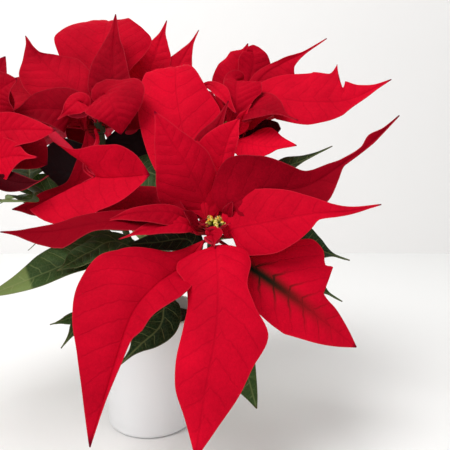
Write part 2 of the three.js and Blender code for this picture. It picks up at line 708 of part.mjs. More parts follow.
function leafyBranch(name) {
  const whole = branchCurve(name);
  const start = STUB_SHARE + SEAT_GAP / whole.getLength();
  let solid = tube(new Stretch(whole, start, 1), BRANCH_RADIUS, BRANCH_STEPS);
  for (const leaf of BRANCHES[name].leaves) {
    const root = whole.getPointAt(leaf.root);
    const elbow = root.clone().addScaledVector(stalkWay(leaf, root, UP), ELBOW);
    solid = solid.add(bladeSolid(leaf, LEAF, root, elbow));
  }
  return geometryOf(solid);
}

function woodyStem() {
  const foot = vec(FORK).setZ(TRUNK_FOOT);
  const knob = new THREE.SphereGeometry(TRUNK_RADIUS * 1.25, STEM_SIDES, 5).translate(...FORK);
  let solid = rod(foot, UP, FORK[2] - TRUNK_FOOT, TRUNK_RADIUS, STEM_SIDES).add(solidOf(knob));
  for (const name of Object.keys(BRANCHES)) {
    const stub = new Stretch(branchCurve(name), 0, STUB_SHARE);
    solid = solid.add(tube(stub, BRANCH_RADIUS * 1.15, STUB_STEPS));
  }
  return geometryOf(solid);
}

// ---- heads --------------------------------------------------------------------------------

// The coloured bracts of one head, round the thick top of its stem.
function rosette(name) {
  const axis = branchCurve(name).getTangentAt(1);
  const foot = vec(HEADS[name].top).addScaledVector(axis, SEAT_GAP);
  let solid = rod(foot, axis, CORE_HEIGHT, CORE_RADIUS, STEM_SIDES);
  for (const bract of HEADS[name].bracts) {
    const middle = foot.clone().addScaledVector(axis, bract.root + STALK_RADIUS);
    const way = stalkWay(bract, middle, axis);
    const root = middle.clone().addScaledVector(way, ROOT_RADIUS);
    const elbow = middle.clone().addScaledVector(way, ELBOW);
    solid = solid.add(bladeSolid(bract, BRACT, root, elbow));
  }
  return geometryOf(solid);
}

// The true flowers: rings of small cups that lean out from a low cushion on top of the core.
function cyathia(name) {
  const axis = branchCurve(name).getTangentAt(1);
  const foot = vec(HEADS[name].top).addScaledVector(axis, CORE_HEIGHT + 2 * SEAT_GAP);
  const profile = [
    new THREE.Vector2(0, 0),
    new THREE.Vector2(CUP_RADIUS, CUP_HEIGHT * 0.6),
    new THREE.Vector2(0, CUP_HEIGHT),
  ];
  let solid = rod(foot, axis, CUSHION_HEIGHT, CORE_RADIUS, STEM_SIDES);
  for (const [degrees, count] of CUP_RINGS) {
    for (let i = 0; i < count; i += 1) {
      const lean = rad(degrees);
      const turn = (2 * Math.PI * (i + count / 3)) / count;
      const way = new THREE.Vector3(Math.sin(lean), Math.cos(lean), 0);
      way.applyAxisAngle(new THREE.Vector3(0, 1, 0), turn);
      const base = way.clone().setY(0).multiplyScalar(CORE_RADIUS * 0.7).setY(CUSHION_HEIGHT * 0.6);
      const cup = new THREE.LatheGeometry(profile, CUP_SIDES);
      solid = solid.add(solidOf(along(along(cup, base, way), foot, axis)));
    }
  }
  return geometryOf(solid);
}

// ---- pot and soil -------------------------------------------------------------------------

function wallRadius(z) {
  const flare = (POT_TOP_RADIUS - POT_BASE_RADIUS) / (POT_HEIGHT - POT_CORNER);
  return POT_BASE_RADIUS + flare * (z - POT_CORNER);
}

function pot() {
  const profile = new THREE.Path();
  const lip = POT_WALL / 2;
  const inside = POT_FLOOR + POT_CORNER;
  profile.moveTo(0, 0);
  profile.lineTo(POT_BASE_RADIUS - POT_CORNER, 0);
  profile.absarc(POT_BASE_RADIUS - POT_CORNER, POT_CORNER, POT_CORNER, -Math.PI / 2, 0, false);
  profile.lineTo(POT_TOP_RADIUS, POT_HEIGHT - lip);
  profile.absarc(POT_TOP_RADIUS - lip, POT_HEIGHT - lip, lip, 0, Math.PI, false);
  profile.lineTo(wallRadius(inside) - POT_WALL, inside);
  profile.lineTo(wallRadius(POT_FLOOR) - POT_WALL - POT_CORNER, POT_FLOOR);
  profile.lineTo(0, POT_FLOOR);
  return geometryOf(turned(profile.getPoints(2).map((p) => [p.x, p.y]), POT_SIDES));
}

function soil() {
  const bottom = POT_FLOOR + POT_CORNER + SEAT_GAP;
  const edge = POT_WALL + SEAT_GAP;
  const whole = turned(
    [
      [0, bottom],
      [wallRadius(bottom) - edge, bottom],
      [wallRadius(SOIL_TOP) - edge, SOIL_TOP],
      [POT_TOP_RADIUS * 0.65, SOIL_TOP + SOIL_MOUND * 0.3],
      [POT_TOP_RADIUS * 0.4, SOIL_TOP + SOIL_MOUND * 0.7],
      [0, SOIL_TOP + SOIL_MOUND],
    ],
    SOIL_SIDES,
  );
  const foot = vec(FORK).setZ(TRUNK_FOOT - SEAT_GAP);
  const hole = rod(foot, UP, POT_HEIGHT - TRUNK_FOOT, TRUNK_RADIUS + SEAT_GAP, STEM_SIDES);
  return geometryOf(whole.subtract(hole));
}

// ---- the plant ----------------------------------------------------------------------------

const plant = new THREE.Group();
plant.add(named("pot", pot(), MATERIALS.pot));
plant.add(named("soil", soil(), MATERIALS.soil));
plant.add(named("woody_stem", woodyStem(), MATERIALS.wood));
for (const name of Object.keys(HEADS)) {
  plant.add(named(`branch_${name}`, leafyBranch(name), MATERIALS.leaf));
  plant.add(named(`bracts_${name}`, rosette(name), MATERIALS.bract));
  plant.add(named(`cyathia_${name}`, cyathia(name), MATERIALS.cyathia));
}

export default plant;
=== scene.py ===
"""The looks of a potted poinsettia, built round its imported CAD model.

Lengths of the plant and pot are in millimetres here and become metres where a mesh is made.
"""

import math

import bpy
import mathutils
import numpy as np
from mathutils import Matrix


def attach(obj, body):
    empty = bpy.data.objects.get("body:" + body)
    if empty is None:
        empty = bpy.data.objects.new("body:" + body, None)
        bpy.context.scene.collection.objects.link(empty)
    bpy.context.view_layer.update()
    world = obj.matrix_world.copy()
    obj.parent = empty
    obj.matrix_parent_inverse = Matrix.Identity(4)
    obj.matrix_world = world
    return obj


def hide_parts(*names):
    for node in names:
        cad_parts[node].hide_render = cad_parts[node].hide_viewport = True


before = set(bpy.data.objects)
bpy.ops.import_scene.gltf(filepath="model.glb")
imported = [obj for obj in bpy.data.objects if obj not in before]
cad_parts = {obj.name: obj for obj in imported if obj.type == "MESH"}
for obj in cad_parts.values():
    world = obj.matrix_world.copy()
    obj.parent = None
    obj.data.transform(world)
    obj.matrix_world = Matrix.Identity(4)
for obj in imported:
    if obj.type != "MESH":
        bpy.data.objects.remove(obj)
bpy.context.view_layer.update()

MM = 0.001

# ---- sizes shared with the solids ----

POT_HEIGHT = 108
POT_BASE_RADIUS = 41.5  # where the wall meets the rounded lower corner
POT_TOP_RADIUS = 51
POT_WALL = 3.2
POT_FLOOR = 5
POT_CORNER = 5
SOIL_TOP = 96
SOIL_MOUND = 5
SEAT_GAP = 0.3

TRUNK_RADIUS = 5.5
TRUNK_FOOT = 40
FORK = (1, -2, 113)
STUB_SHARE = 0.16  # part of each branch's path that belongs to the woody stem
BRANCH_RADIUS = 3.2

CORE_RADIUS = 4.6
CORE_HEIGHT = 12
ROOT_RADIUS = 2
ELBOW = 13  # how far a stalk runs out before the blade takes its own way
STALK_RADIUS = 1.4
TIP_HALF_WIDTH = 0.4
RAY_STEPS = 4
HALF_SHIFT = 0.35  # of a wave, between the margins of a blade's two halves
SWEEP_POWER = 1.4

CUP_RINGS = ((0, 1), (32, 3), (54, 5))  # lean of each ring's cups in degrees, and their number
CUSHION_HEIGHT = 3

# ---- sizes of the finer surface ----

BLADE_THICKNESS = 0.5
BLADE_ROWS = 67
BLADE_COLUMNS = 11  # from the rib to each edge
COLUMN_POWER = 0.9  # under 1, the columns lie closer near the edges
STALK_ROWS = 4
STALK_ROUNDING = 0.96  # at 1, a stalk would run out to nothing at its sides
TOOTH_LENGTH = 0.035  # the share of a blade over which a tooth is pointed

VEIN_COUNT = 11  # side veins on each side of the rib
VEIN_LEAN = 0.55  # how far they run towards the tip for each millimetre from the rib
VEIN_BOW = 0.006
VEIN_SHIFT = 0.45  # of their spacing, between the two halves
VEIN_START = 20  # keeps the vein mark above zero
SWELLS = ((1.3, 0.8), (2.6, -0.7), (4.3, 1.1))  # waves along a blade, and across it
SWELL_SHARE = 0.016  # of the blade's half-width
SWELL_POWER = 1.3  # over 1, the swells are gathered near the edges
RIB_ROOM = 4  # from here out, the side veins are fully sunk
EDGE_ROOM = 5  # and up to here from the edge
GROOVE_DEPTH = 0.5
GROOVE_WIDTH = 1.1

TUBE_SIDES = 16
ROUND_SIDES = 24
LATHE_SIDES = 128
SHARP_ANGLE = 55
ASIDE = (0.3, 1, 0.2)  # a direction that no stem runs along

# ---- blades: the solids' rule, drawn with more points ----
#
# root, outline, face, fold, curl, wave, waves, phase and sweep are the solids' own values. half,
# fold and curl are a pair for the left and the right half, or one number for both. sharp names the
# outline's pointed teeth as (side, place). tone makes a blade lighter or darker: it is painted
# light and shade, lower for blades under others and in hollows, higher for blades in full light,
# and at the lowest tones a blade takes the painted shade of a deep hollow; a small random spread of
# its own colour is added. age stains its veins, and pale gives its tip the underside's colour. dent
# is how deep the side veins sink.

OVATE = ((0.08, 0.1), (0.21, 0.58), (0.42, 1), (0.66, 0.66), (0.85, 0.12))

BRACT = dict(
    half=24, face=(0, 0, 1), fold=8, curl=-14, wave=2, waves=1.6, phase=0, sweep=(0, 0), sharp=(),
    tone=0, age=0, pale=0, dent=0.3, outline=None, ray=None, rib=None,
)
LEAF = {**BRACT, "half": 22, "fold": 12, "dent": 0.45}


def rib(root, points, outline=None, up=0.4, **more):
    """A blade along a rib, facing the front and somewhat up; outline has (place, left, right)."""
    return {"root": root, "rib": points, "outline": outline, "face": (0, -1, up), **more}


def ray(root, azimuth, rise, bend, length, **more):
    """A blade that leaves at an azimuth and a rise, and bends down evenly."""
    return dict(root=root, ray=(azimuth, rise, bend, length), **more)


HEADS = {}

HEADS["front"] = dict(top=(59, -50, 183), bracts=[
    # hangs over the pot, middle
    rib(1, [(63, -79, 179), (65, -102, 161), (64, -124, 133), (57, -139, 96), (51, -149, 55)],
        [(0.1, 10, 14), (0.18, 23, 29), (0.28, 26, 32), (0.4, 22, 24), (0.5, 27, 22),
         (0.6, 37, 24), (0.7, 29, 25), (0.8, 23, 22), (0.9, 12, 11)],
        up=0.9, fold=4, curl=(-30, -34), wave=1, tone=1),
    # hangs over the pot, left; its inner half is folded up
    rib(2, [(37, -75, 166), (20, -96, 157), (6, -115, 142), (-3, -133, 114), (-18, -148, 62)],
        [(0.1, 6, 8), (0.2, 18, 16), (0.3, 24, 27), (0.4, 27, 39), (0.5, 23, 45), (0.6, 17, 43),
         (0.68, 15, 38), (0.72, 9, 35), (0.8, 6, 27), (0.9, 2, 14)],
        face=(0.4, -1, 0.5), fold=(45, 0), curl=(10, -20), wave=1, tone=-1),
    # lower right
    rib(1, [(78, -60, 169), (101, -71, 156), (126, -77, 139), (150, -77, 120), (174, -74, 100)],
        [(0.1, 4, 4), (0.2, 14, 12), (0.3, 24, 19), (0.4, 38, 24), (0.5, 50, 27), (0.57, 47, 28),
         (0.625, 38, 28), (0.665, 41, 26), (0.7, 18, 24), (0.8, 15, 18), (0.9, 9, 10)],
        face=(0, -0.9, 0.7), curl=(-10, -20), wave=1, age=1, tone=2),
    # right, its tail long
    rib(4, [(76, -59, 192), (103, -68, 199), (136, -73, 206), (164, -73, 208), (190, -70, 213)],
        [(0.1, 5, 9), (0.2, 21, 19), (0.3, 31, 24), (0.4, 29, 25), (0.5, 24, 20), (0.59, 16, 11),
         (0.64, 12, 5), (0.72, 7, 4), (0.85, 3, 2)],
        up=0.5, fold=6, curl=(-16, -24), wave=1),
    # right, above: a wavy blade with a twisted tail
    rib(6, [(76, -53, 211), (101, -51, 220), (137, -48, 226), (167, -46, 245), (187, -46, 260),
            (209, -46, 282)],
        [(0.08, 3, 3), (0.16, 22, 10), (0.24, 35, 18), (0.33, 31, 22), (0.43, 21, 23),
         (0.52, 12, 20), (0.6, 8, 9), (0.66, 4, 2), (0.78, 2.5, 1.5), (0.85, 6, 1.5),
         (0.92, 2, 1)],
        up=0.35, fold=(10, 6), curl=(16, 10), waves=2, phase=0.2, tone=-3),
    # upright, middle
    rib(6, [(54, -42, 212), (40, -50, 242), (26, -50, 264), (14, -46, 285)],
        [(0.1, 9, 6), (0.18, 24, 12), (0.28, 33, 15), (0.38, 34, 18), (0.5, 29, 20),
         (0.62, 22, 16), (0.75, 14, 11), (0.88, 6, 6)],
        up=0.15, fold=6, curl=-10, wave=1),
    # upright, right of the middle one
    rib(6, [(64, -40, 216), (68, -37, 247), (74, -35, 267), (82, -31, 281)],
        [(0.12, 6, 3), (0.25, 17, 4), (0.37, 23, 7), (0.5, 25, 9), (0.62, 21, 9), (0.75, 14, 8),
         (0.88, 6, 4)],
        up=0.1, fold=(6, 20), wave=0.5, tone=2),
    # tall, arching back
    rib(7, [(49, -36, 230), (35, -17, 268), (27, 3, 304), (24, 23, 331), (18, 46, 328)],
        [(0.1, 5, 4), (0.2, 20, 7), (0.3, 33, 14), (0.4, 35, 29), (0.5, 36, 37), (0.6, 34, 31),
         (0.72, 29, 22), (0.8, 25, 16), (0.9, 14, 9)],
        face=(0.1, -1, 0.6), fold=4, curl=-16, wave=1, tone=2),
    # behind the upright ones, darkened with painted shade
    rib(5, [(59, -28, 228), (60, -18, 263), (73, -4, 298)],
        [(0.05, 15, 11), (0.24, 17, 14), (0.45, 24, 16), (0.68, 15, 10), (0.85, 4, 3)], tone=-4),
    # long, low left, darkened with painted shade from the bracts over it
    rib(3, [(27, -62, 198), (-18, -74, 200), (-60, -85, 194), (-94, -91, 195)],
        [(0.12, 3, 3), (0.25, 9, 13), (0.4, 10, 13), (0.56, 8, 12), (0.63, 12, 11), (0.7, 18, 8),
         (0.77, 13, 6), (0.84, 8, 4), (0.92, 3, 1.5)],
        face=(0, -0.7, 0.8), wave=1, sharp=[(1, 0.7)], tone=-6),
    # short left, above
    rib(5, [(30, -60, 205), (0, -68, 206), (-28, -75, 199)],
        half=(14, 9), face=(0, -0.7, 0.8), wave=1, tone=-2),
    # short left, below
    rib(4, [(37, -66, 198), (12, -75, 195), (-10, -82, 188)],
        half=(12, 9), face=(0, -0.6, 0.9), wave=1),
    # left, behind the two short ones
    rib(7, [(21, -46, 210), (-9, -38, 211), (-42, -37, 206)],
        [(0.12, 3, 3), (0.3, 11, 11), (0.5, 15, 15), (0.72, 13, 15), (0.88, 8, 10)], tone=-3),
    # small, in front of the cyathia
    rib(7, [(61, -70, 189), (62, -77, 181)], half=8, face=(0, -0.9, 0.6), wave=0, tone=-2),
    # young, beside the cyathia: darker as young bracts are, with the painted shade of the hollow
    # round the cyathia added by their low tone
    rib(9, [(44, -60, 201), (38, -67, 208)], [(0.2, 3, 3), (0.5, 6, 6), (0.8, 3, 3)],
        face=(0.3, -0.8, 0.6), wave=0.5, tone=-7),
    rib(9, [(72, -54, 205), (76, -56, 214)], [(0.2, 3, 3), (0.5, 5, 5), (0.8, 3, 3)],
        face=(-0.3, -0.8, 0.4), wave=0.5, tone=-7),
])

HEADS["upper"] = dict(top=(-42, 4, 270), bracts=[
    # broad, its point towards the front and its two halves swept back
    rib(1, [(-42, -10, 262), (-48, -30, 242), (-35, -42, 233), (-12, -47, 233), (10, -52, 235)],
        [(0.58, 1.5, 1.5), (0.6, 31, 48), (0.66, 29, 47), (0.74, 25, 40), (0.8, 27, 33),
         (0.87, 27, 25), (0.94, 19, 13)],
        face=(-0.1, -1, 0.3), fold=(20, 25), curl=(10, 0), wave=0, sweep=(58, 36), tone=1),
    # under its lower half
    rib(1, [(-52, -6, 254), (-63, -13, 223), (-89, -19, 212), (-115, -22, 204)],
        [(0.2, 9, 5), (0.45, 20, 9), (0.7, 17, 7), (0.86, 10, 3), (0.94, 4, 1.5)],
        up=0.3, tone=-3),
    # behind its halves, in the painted shade of a deep hollow
    rib(2, [(-49, 23, 276), (-66, 21, 259), (-82, 19, 247)], up=0.3, half=(22, 34), tone=-8),
    # the widest, behind the others, arching back
    rib(7, [(-46, 28, 309), (-48, 40, 341), (-48, 53, 366), (-48, 72, 385), (-48, 94, 386)],
        [(0.15, 8, 8), (0.3, 26, 24), (0.45, 42, 41), (0.56, 47, 47), (0.66, 41, 38),
         (0.75, 31, 26), (0.85, 20, 17), (0.94, 10, 9)],
        up=0.5, tone=-1),
    # upright, pointed, its right margin curled forward
    rib(6, [(-30, 11, 304), (-32, 17, 326), (-33, 26, 352), (-32, 34, 381)],
        [(0.1, 6, 8), (0.2, 16, 14), (0.35, 24, 16), (0.55, 20, 14), (0.68, 14, 11), (0.78, 9, 7),
         (0.88, 4, 4)],
        up=0.3, curl=(-10, 16), tone=-3),
    # spike, upper left
    rib(6, [(-63, 12, 305), (-89, 21, 328), (-107, 27, 346), (-116, 31, 361)],
        [(0.15, 8, 8), (0.3, 24, 22), (0.45, 32, 26), (0.6, 27, 14), (0.72, 14, 3),
         (0.82, 6, 1.5), (0.88, 3, 1.5)],
        face=(0.2, -1, 0.5), tone=-1),
    # left, its edge turned down
    rib(4, [(-57, -5, 297), (-63, -13, 292), (-73, -21, 280)],
        up=0.6, half=(18, 11), curl=-30, tone=-1),
    rib(3, [(-65, -4, 288), (-90, -16, 290), (-115, -28, 284)], up=0.5, half=(22, 24), tone=-4),
    # front, pointing down
    rib(6, [(-36, -3, 302), (-29, -18, 300), (-22, -26, 286), (-18, -24, 268)],
        [(0.15, 8, 8), (0.3, 16, 14), (0.45, 28, 22), (0.58, 31, 24), (0.72, 25, 19),
         (0.87, 12, 9)],
        curl=(-16, -20), wave=1, tone=-2),
    # dark with painted shade, right, in the gap beside the arching bract of the front head
    rib(4, [(-16, 17, 290), (-2, 10, 283), (11, 4, 270)], up=0.3, half=(24, 22), tone=-4),
    rib(5, [(-73, 17, 292), (-105, 24, 305), (-139, 31, 312), (-169, 35, 314)],
        half=(34, 36), face=(0, -0.8, 0.8), tone=-3),
    ray(2, 140, 20, 70, 120, half=28),
    ray(3, 100, 30, 70, 115, half=28),
])

HEADS["rear"] = dict(top=(25, 49, 278), bracts=[
    rib(6, [(-8, 77, 328), (-2, 89, 359), (8, 100, 393)],
        [(0.15, 8, 8), (0.35, 22, 20), (0.6, 16, 18), (0.76, 9, 10), (0.88, 3, 3)]),
    rib(6, [(15, 76, 324), (25, 88, 350), (42, 99, 383)],
        [(0.15, 8, 8), (0.35, 20, 18), (0.6, 14, 14), (0.76, 7, 7), (0.88, 2, 2)], tone=-1),
    # small, between the heads
    rib(4, [(51, 28, 315), (66, 8, 306), (80, -4, 287)],
        [(0.15, 3, 3), (0.4, 4, 4), (0.65, 8, 5), (0.85, 3, 3)], wave=1, tone=1),
    rib(3, [(45, 40, 290), (56, 32, 289), (69, 25, 284)], up=0.3, half=24, tone=-4),
    ray(4, 65, 20, 70, 120, half=28),
    ray(2, 100, 15, 80, 130, half=30),
    ray(5, 145, 35, 60, 90, half=22),
    ray(2, 200, 5, 40, 62, half=18),
])

HEADS["right"] = dict(top=(72, 28, 262), bracts=[
    rib(7, [(75, 44, 306), (83, 55, 333), (93, 66, 362)],
        [(0.12, 4, 4), (0.3, 14, 14), (0.5, 22, 15), (0.66, 21, 11), (0.78, 16, 8), (0.86, 14, 6),
         (0.92, 4, 3)],
        up=0.3, sharp=[(1, 0.86)]),
    rib(7, [(90, 43, 310), (97, 53, 335), (98, 59, 352), (93, 67, 347)],
        [(0.15, 4, 4), (0.35, 12, 18), (0.55, 16, 19), (0.7, 12, 14), (0.8, 6, 8)],
        face=(0.3, -1, 0.3), tone=-1),
    rib(6, [(102, 42, 320), (125, 42, 338), (144, 41, 347), (167, 41, 361)],
        [(0.1, 4, 6), (0.25, 9, 18), (0.4, 6, 25), (0.52, 4, 22), (0.62, 3, 8), (0.8, 2, 2)],
        tone=-1),
    # long, right, with a deep tooth
    rib(4, [(110, 23, 300), (147, 10, 299), (181, 2, 300), (217, 1, 317)],
        [(0.1, 6, 6), (0.2, 18, 14), (0.35, 31, 24), (0.5, 34, 26), (0.6, 32, 23),
         (0.695, 43, 17), (0.725, 15, 13), (0.765, 21, 9), (0.84, 11, 5), (0.92, 3, 2)],
        face=(0, -0.9, 0.6), wave=1, sharp=[(1, 0.695)], tone=1),
    rib(6, [(89, 15, 292), (110, -2, 290), (132, -21, 280)],
        half=(24, 18), face=(0, -0.7, 0.7), tone=-4),
    # upright, short, its top arching over
    rib(5, [(79, 10, 293), (80, 15, 309), (81, 26, 320), (83, 38, 317)],
        [(0.15, 6, 6), (0.35, 12, 16), (0.55, 12, 24), (0.75, 12, 22), (0.9, 8, 12)],
        up=0.2, tone=-3),
    rib(3, [(84, 10, 276), (87, 6, 286), (94, 4, 297)], up=0.2, half=7, wave=0, tone=3),
    rib(1, [(89, 6, 262), (108, -6, 258), (132, -16, 259)],
        [(0.1, 6, 6), (0.25, 16, 14), (0.45, 20, 17), (0.6, 21, 14), (0.72, 18, 9), (0.8, 13, 4),
         (0.88, 8, 2)],
        face=(0, -0.8, 0.6), tone=2),
    # dark with the painted shade of a deep hollow, behind that one
    rib(2, [(92, 24, 275), (108, 21, 276), (122, 18, 275)],
        [(0.2, 6, 6), (0.45, 10, 10), (0.7, 9, 10), (0.9, 7, 8)], up=0.5, wave=1, tone=-9),
    ray(2, 40, 50, 60, 110, half=26),
    ray(4, 65, 30, 70, 105, half=26),
    ray(5, 110, 35, 70, 70, half=18),
])

HEADS["left"] = dict(top=(-136, -45, 247), bracts=[
    rib(2, [(-117, -47, 248), (-98, -51, 250), (-77, -57, 249)], half=(18, 24), tone=1),
    # a level band, right
    rib(5, [(-124, -40, 268), (-99, -42, 271), (-66, -46, 270)],
        [(0.1, 8, 8), (0.3, 16, 16), (0.6, 15, 16), (0.82, 9, 12)], tone=1),
    # dark with painted shade, behind the two
    rib(4, [(-129, -28, 255), (-102, -30, 251), (-78, -34, 243)],
        [(0.1, 8, 8), (0.3, 26, 10), (0.6, 27, 14), (0.8, 22, 11), (0.92, 12, 6)], tone=-5),
    rib(7, [(-130, -33, 282), (-124, -25, 306), (-115, -17, 333)],
        [(0.1, 4, 4), (0.3, 20, 22), (0.55, 24, 22), (0.76, 17, 12), (0.9, 10, 5)],
        up=0.3, tone=-3),
    rib(6, [(-126, -35, 284), (-115, -34, 302), (-99, -34, 312)],
        [(0.2, 12, 12), (0.45, 24, 22), (0.7, 20, 16), (0.88, 10, 5)], up=0.3, tone=-3),
    # young, under the others: darker as young bracts are, and in the painted shade of a deep hollow
    rib(1, [(-117, -53, 237), (-98, -58, 230), (-80, -62, 229), (-66, -65, 235)],
        half=(8, 9), face=(0, -0.9, 0.5), tone=-9),
    ray(3, 195, 20, 70, 120, half=28),
    ray(1, 238, 15, 80, 125, half=28),
    ray(4, 150, 25, 70, 115, half=26),
    ray(4, 275, 30, 90, 90, half=22),
    ray(6, 110, 40, 60, 80, half=22),
    ray(6, 215, 40, 70, 75, half=20),
])

BRANCHES = {}

BRANCHES["front"] = dict(path=[(26, -22, 134), (54, -37, 160)], leaves=[
    rib(0.55, [(-14, -56, 181), (-35, -69, 176), (-48, -78, 169), (-57, -83, 164)],
        half=(20, 15), face=(0, -0.5, 1)),
    rib(0.45, [(-23, -48, 176), (-49, -62, 168), (-73, -76, 159), (-111, -90, 145)],
        [(0.1, 4, 4), (0.3, 16, 19), (0.5, 18, 25), (0.7, 15, 20), (0.88, 8, 7)],
        face=(0, -0.6, 1), pale=1),
    rib(0.3, [(20, -52, 132), (18, -66, 115), (3, -78, 103), (-12, -88, 90)],
        up=0.5, half=(15, 22), tone=-3),
    # dark with the painted shade of a deep hollow, level, under the bracts at the left
    rib(0.7, [(41, -53, 182), (13, -51, 180), (-24, -50, 177)],
        half=13, face=(0, -0.8, 0.7), tone=-9),
    rib(0.4, [(70, -68, 120), (84, -76, 90), (95, -83, 53)],
        [(0.2, 8, 10), (0.4, 14, 21), (0.65, 10, 22), (0.82, 6, 13), (0.93, 3, 5)], up=0.3),
])

BRANCHES["left"] = dict(path=[(-58, -8, 188), (-106, -17, 227)], leaves=[
    rib(0.25, [(-45, -27, 121), (-64, -34, 111), (-81, -39, 106)],
        half=(14, 6), face=(0, -0.6, 0.8)),
    rib(0.25, [(-39, -34, 116), (-54, -45, 108), (-66, -57, 92)],
        half=(12, 11), face=(0, -0.8, 0.6)),
    rib(0.6, [(-90, 12, 214), (-117, 13, 220), (-143, 8, 227)], up=0.6, half=(8, 21), tone=2),
    # pale with painted light, seen from its edge
    rib(0.7, [(-91, -45, 214), (-110, -55, 214), (-124, -65, 214)],
        half=9, face=(0, -0.05, 1), tone=5),
    ray(0.75, 110, 35, 60, 115, half=24),
    ray(0.5, 150, 35, 60, 105, half=22),
    ray(0.85, 208, 0, 40, 90, half=20),
])

BRANCHES["upper"] = dict(path=[(-16, 0, 165), (-36, 4, 225)], leaves=[
    # a dark sheet of painted shade, facing forward between the heads
    rib(0.55, [(-24, 17, 219), (-17, 18, 246), (-18, 18, 264), (-25, 17, 279)],
        [(0.1, 6, 6), (0.3, 24, 28), (0.55, 24, 36), (0.75, 26, 29), (0.9, 24, 14)],
        up=0.2, tone=-10),
    # dark with the painted shade of the hollow, left, under the broad bract
    rib(0.8, [(-48, 1, 233), (-69, -1, 235), (-98, -3, 243)],
        [(0.15, 10, 10), (0.35, 22, 22), (0.6, 22, 28), (0.8, 12, 29), (0.94, 5, 20)],
        up=0.2, tone=-10),
    ray(0.35, 150, 20, 50, 120, half=24),
    ray(0.5, 95, 10, 50, 115, half=22),
    ray(0.45, 165, 15, 60, 100, half=20),
    ray(0.8, 340, 10, 70, 85, half=24, face=(0, -1, 0.6)),
])

BRANCHES["right"] = dict(path=[(32, 12, 160), (64, 24, 220)], leaves=[
    rib(0.35, [(118, -24, 148), (146, -31, 139), (171, -37, 126)],
        half=(24, 22), face=(0, -0.6, 1), tone=1),
    rib(0.5, [(121, -33, 182), (148, -38, 172), (175, -41, 163)],
        half=(18, 22), face=(0, -0.8, 1), tone=-2),
    rib(0.8, [(108, 16, 238), (134, 11, 243), (168, 7, 259)],
        [(0.2, 3, 5), (0.4, 6, 11), (0.6, 12, 12), (0.78, 8, 6), (0.9, 3, 2)],
        face=(0, -0.5, 1), tone=-3),
    ray(0.4, 20, 10, 50, 120, half=22),
    ray(0.6, 50, 15, 60, 110, half=22),
])

BRANCHES["rear"] = dict(path=[(8, 26, 168), (20, 44, 226)], leaves=[
    ray(0.4, 110, 10, 60, 120, half=24),
    ray(0.65, 60, 10, 60, 110, half=22),
    ray(0.25, 80, 5, 60, 115, half=22),
    ray(0.8, 150, 10, 60, 100, half=20),
    ray(0.65, 190, 10, 50, 55, half=16),
])

# ---- lines through points ----


def unit(v):
    return v / np.maximum(np.linalg.norm(v, axis=-1, keepdims=True), 1e-9)


class Line:
    """A smooth line through points: a uniform Catmull-Rom curve, as the solids have."""

    def __init__(self, points):
        p = np.array(points, float)
        self.points = np.vstack([2 * p[0] - p[1], p, 2 * p[-1] - p[-2]])
        self.spans = len(p) - 1

    def at(self, t):
        x = np.clip(t, 0, 1) * self.spans
        i = np.minimum(np.asarray(x, int), self.spans - 1)
        w = np.asarray(x - i)[..., None]
        before, start, end, after = (self.points[i + k] for k in range(4))
        go, come = (end - before) / 2, (after - start) / 2
        square = 3 * (end - start) - 2 * go - come
        cube = 2 * (start - end) + go + come
        return start + go * w + square * w**2 + cube * w**3

    def way(self, t):
        t = np.asarray(t, float)
        return unit(self.at(t + 1e-4) - self.at(t - 1e-4))

    def lengths(self, steps=200):
        t = np.linspace(0, 1, steps + 1)
        step = np.linalg.norm(np.diff(self.at(t), axis=0), axis=1)
        return t, np.concatenate([[0], np.cumsum(step)])

    def length(self):
        return self.lengths()[1][-1]

    def at_share(self, share):
        """The curve's parameter at a share of its length."""
        t, run = self.lengths()
        return np.interp(np.asarray(share) * run[-1], run, t)


def smooth(x, y, at):
    """A smooth line through the points (x, y) that doesn't swing past them, read at places."""
    step = np.diff(x)
    slope = np.diff(y) / step
    product = slope[:-1] * slope[1:]
    near, far = 2 * step[1:] + step[:-1], step[1:] + 2 * step[:-1]
    safe = np.where(product > 0, slope[:-1], 1), np.where(product > 0, slope[1:], 1)
    inner = np.where(product > 0, (near + far) / (near / safe[0] + far / safe[1]), 0)
    m = np.concatenate([[slope[0]], inner, [slope[-1]]])
    i = np.clip(np.searchsorted(x, at, side="right") - 1, 0, len(x) - 2)
    w = (at - x[i]) / step[i]
    rise = y[i + 1] - y[i]
    first, last = m[i] * step[i], m[i + 1] * step[i]
    square, cube = 3 * rise - 2 * first - last, first + last - 2 * rise
    return y[i] + first * w + square * w**2 + cube * w**3


def ray_points(start, ray):
    """The midrib of a blade given as a ray: it starts at its rise and bends down evenly."""
    azimuth, rise, bend, length = ray
    turn = math.radians(azimuth)
    points = []
    at = np.array(start, float)
    for i in range(RAY_STEPS):
        slope = math.radians(rise - bend * (i + 0.5) / RAY_STEPS)
        way = (math.cos(slope) * math.cos(turn), math.cos(slope) * math.sin(turn), math.sin(slope))
        at = at + np.array(way) * length / RAY_STEPS
        points.append(at)
    return points


def branch_line(name):
    return Line([FORK, *BRANCHES[name]["path"], HEADS[name]["top"]])


# ---- meshes ----

MARKS = ("vein", "from_rib", "from_edge", "reach", "under", "tone", "age", "pale")


def placed(name, data):
    """A new object in the scene."""
    thing = bpy.data.objects.new(name, data)
    bpy.context.scene.collection.objects.link(thing)
    return thing


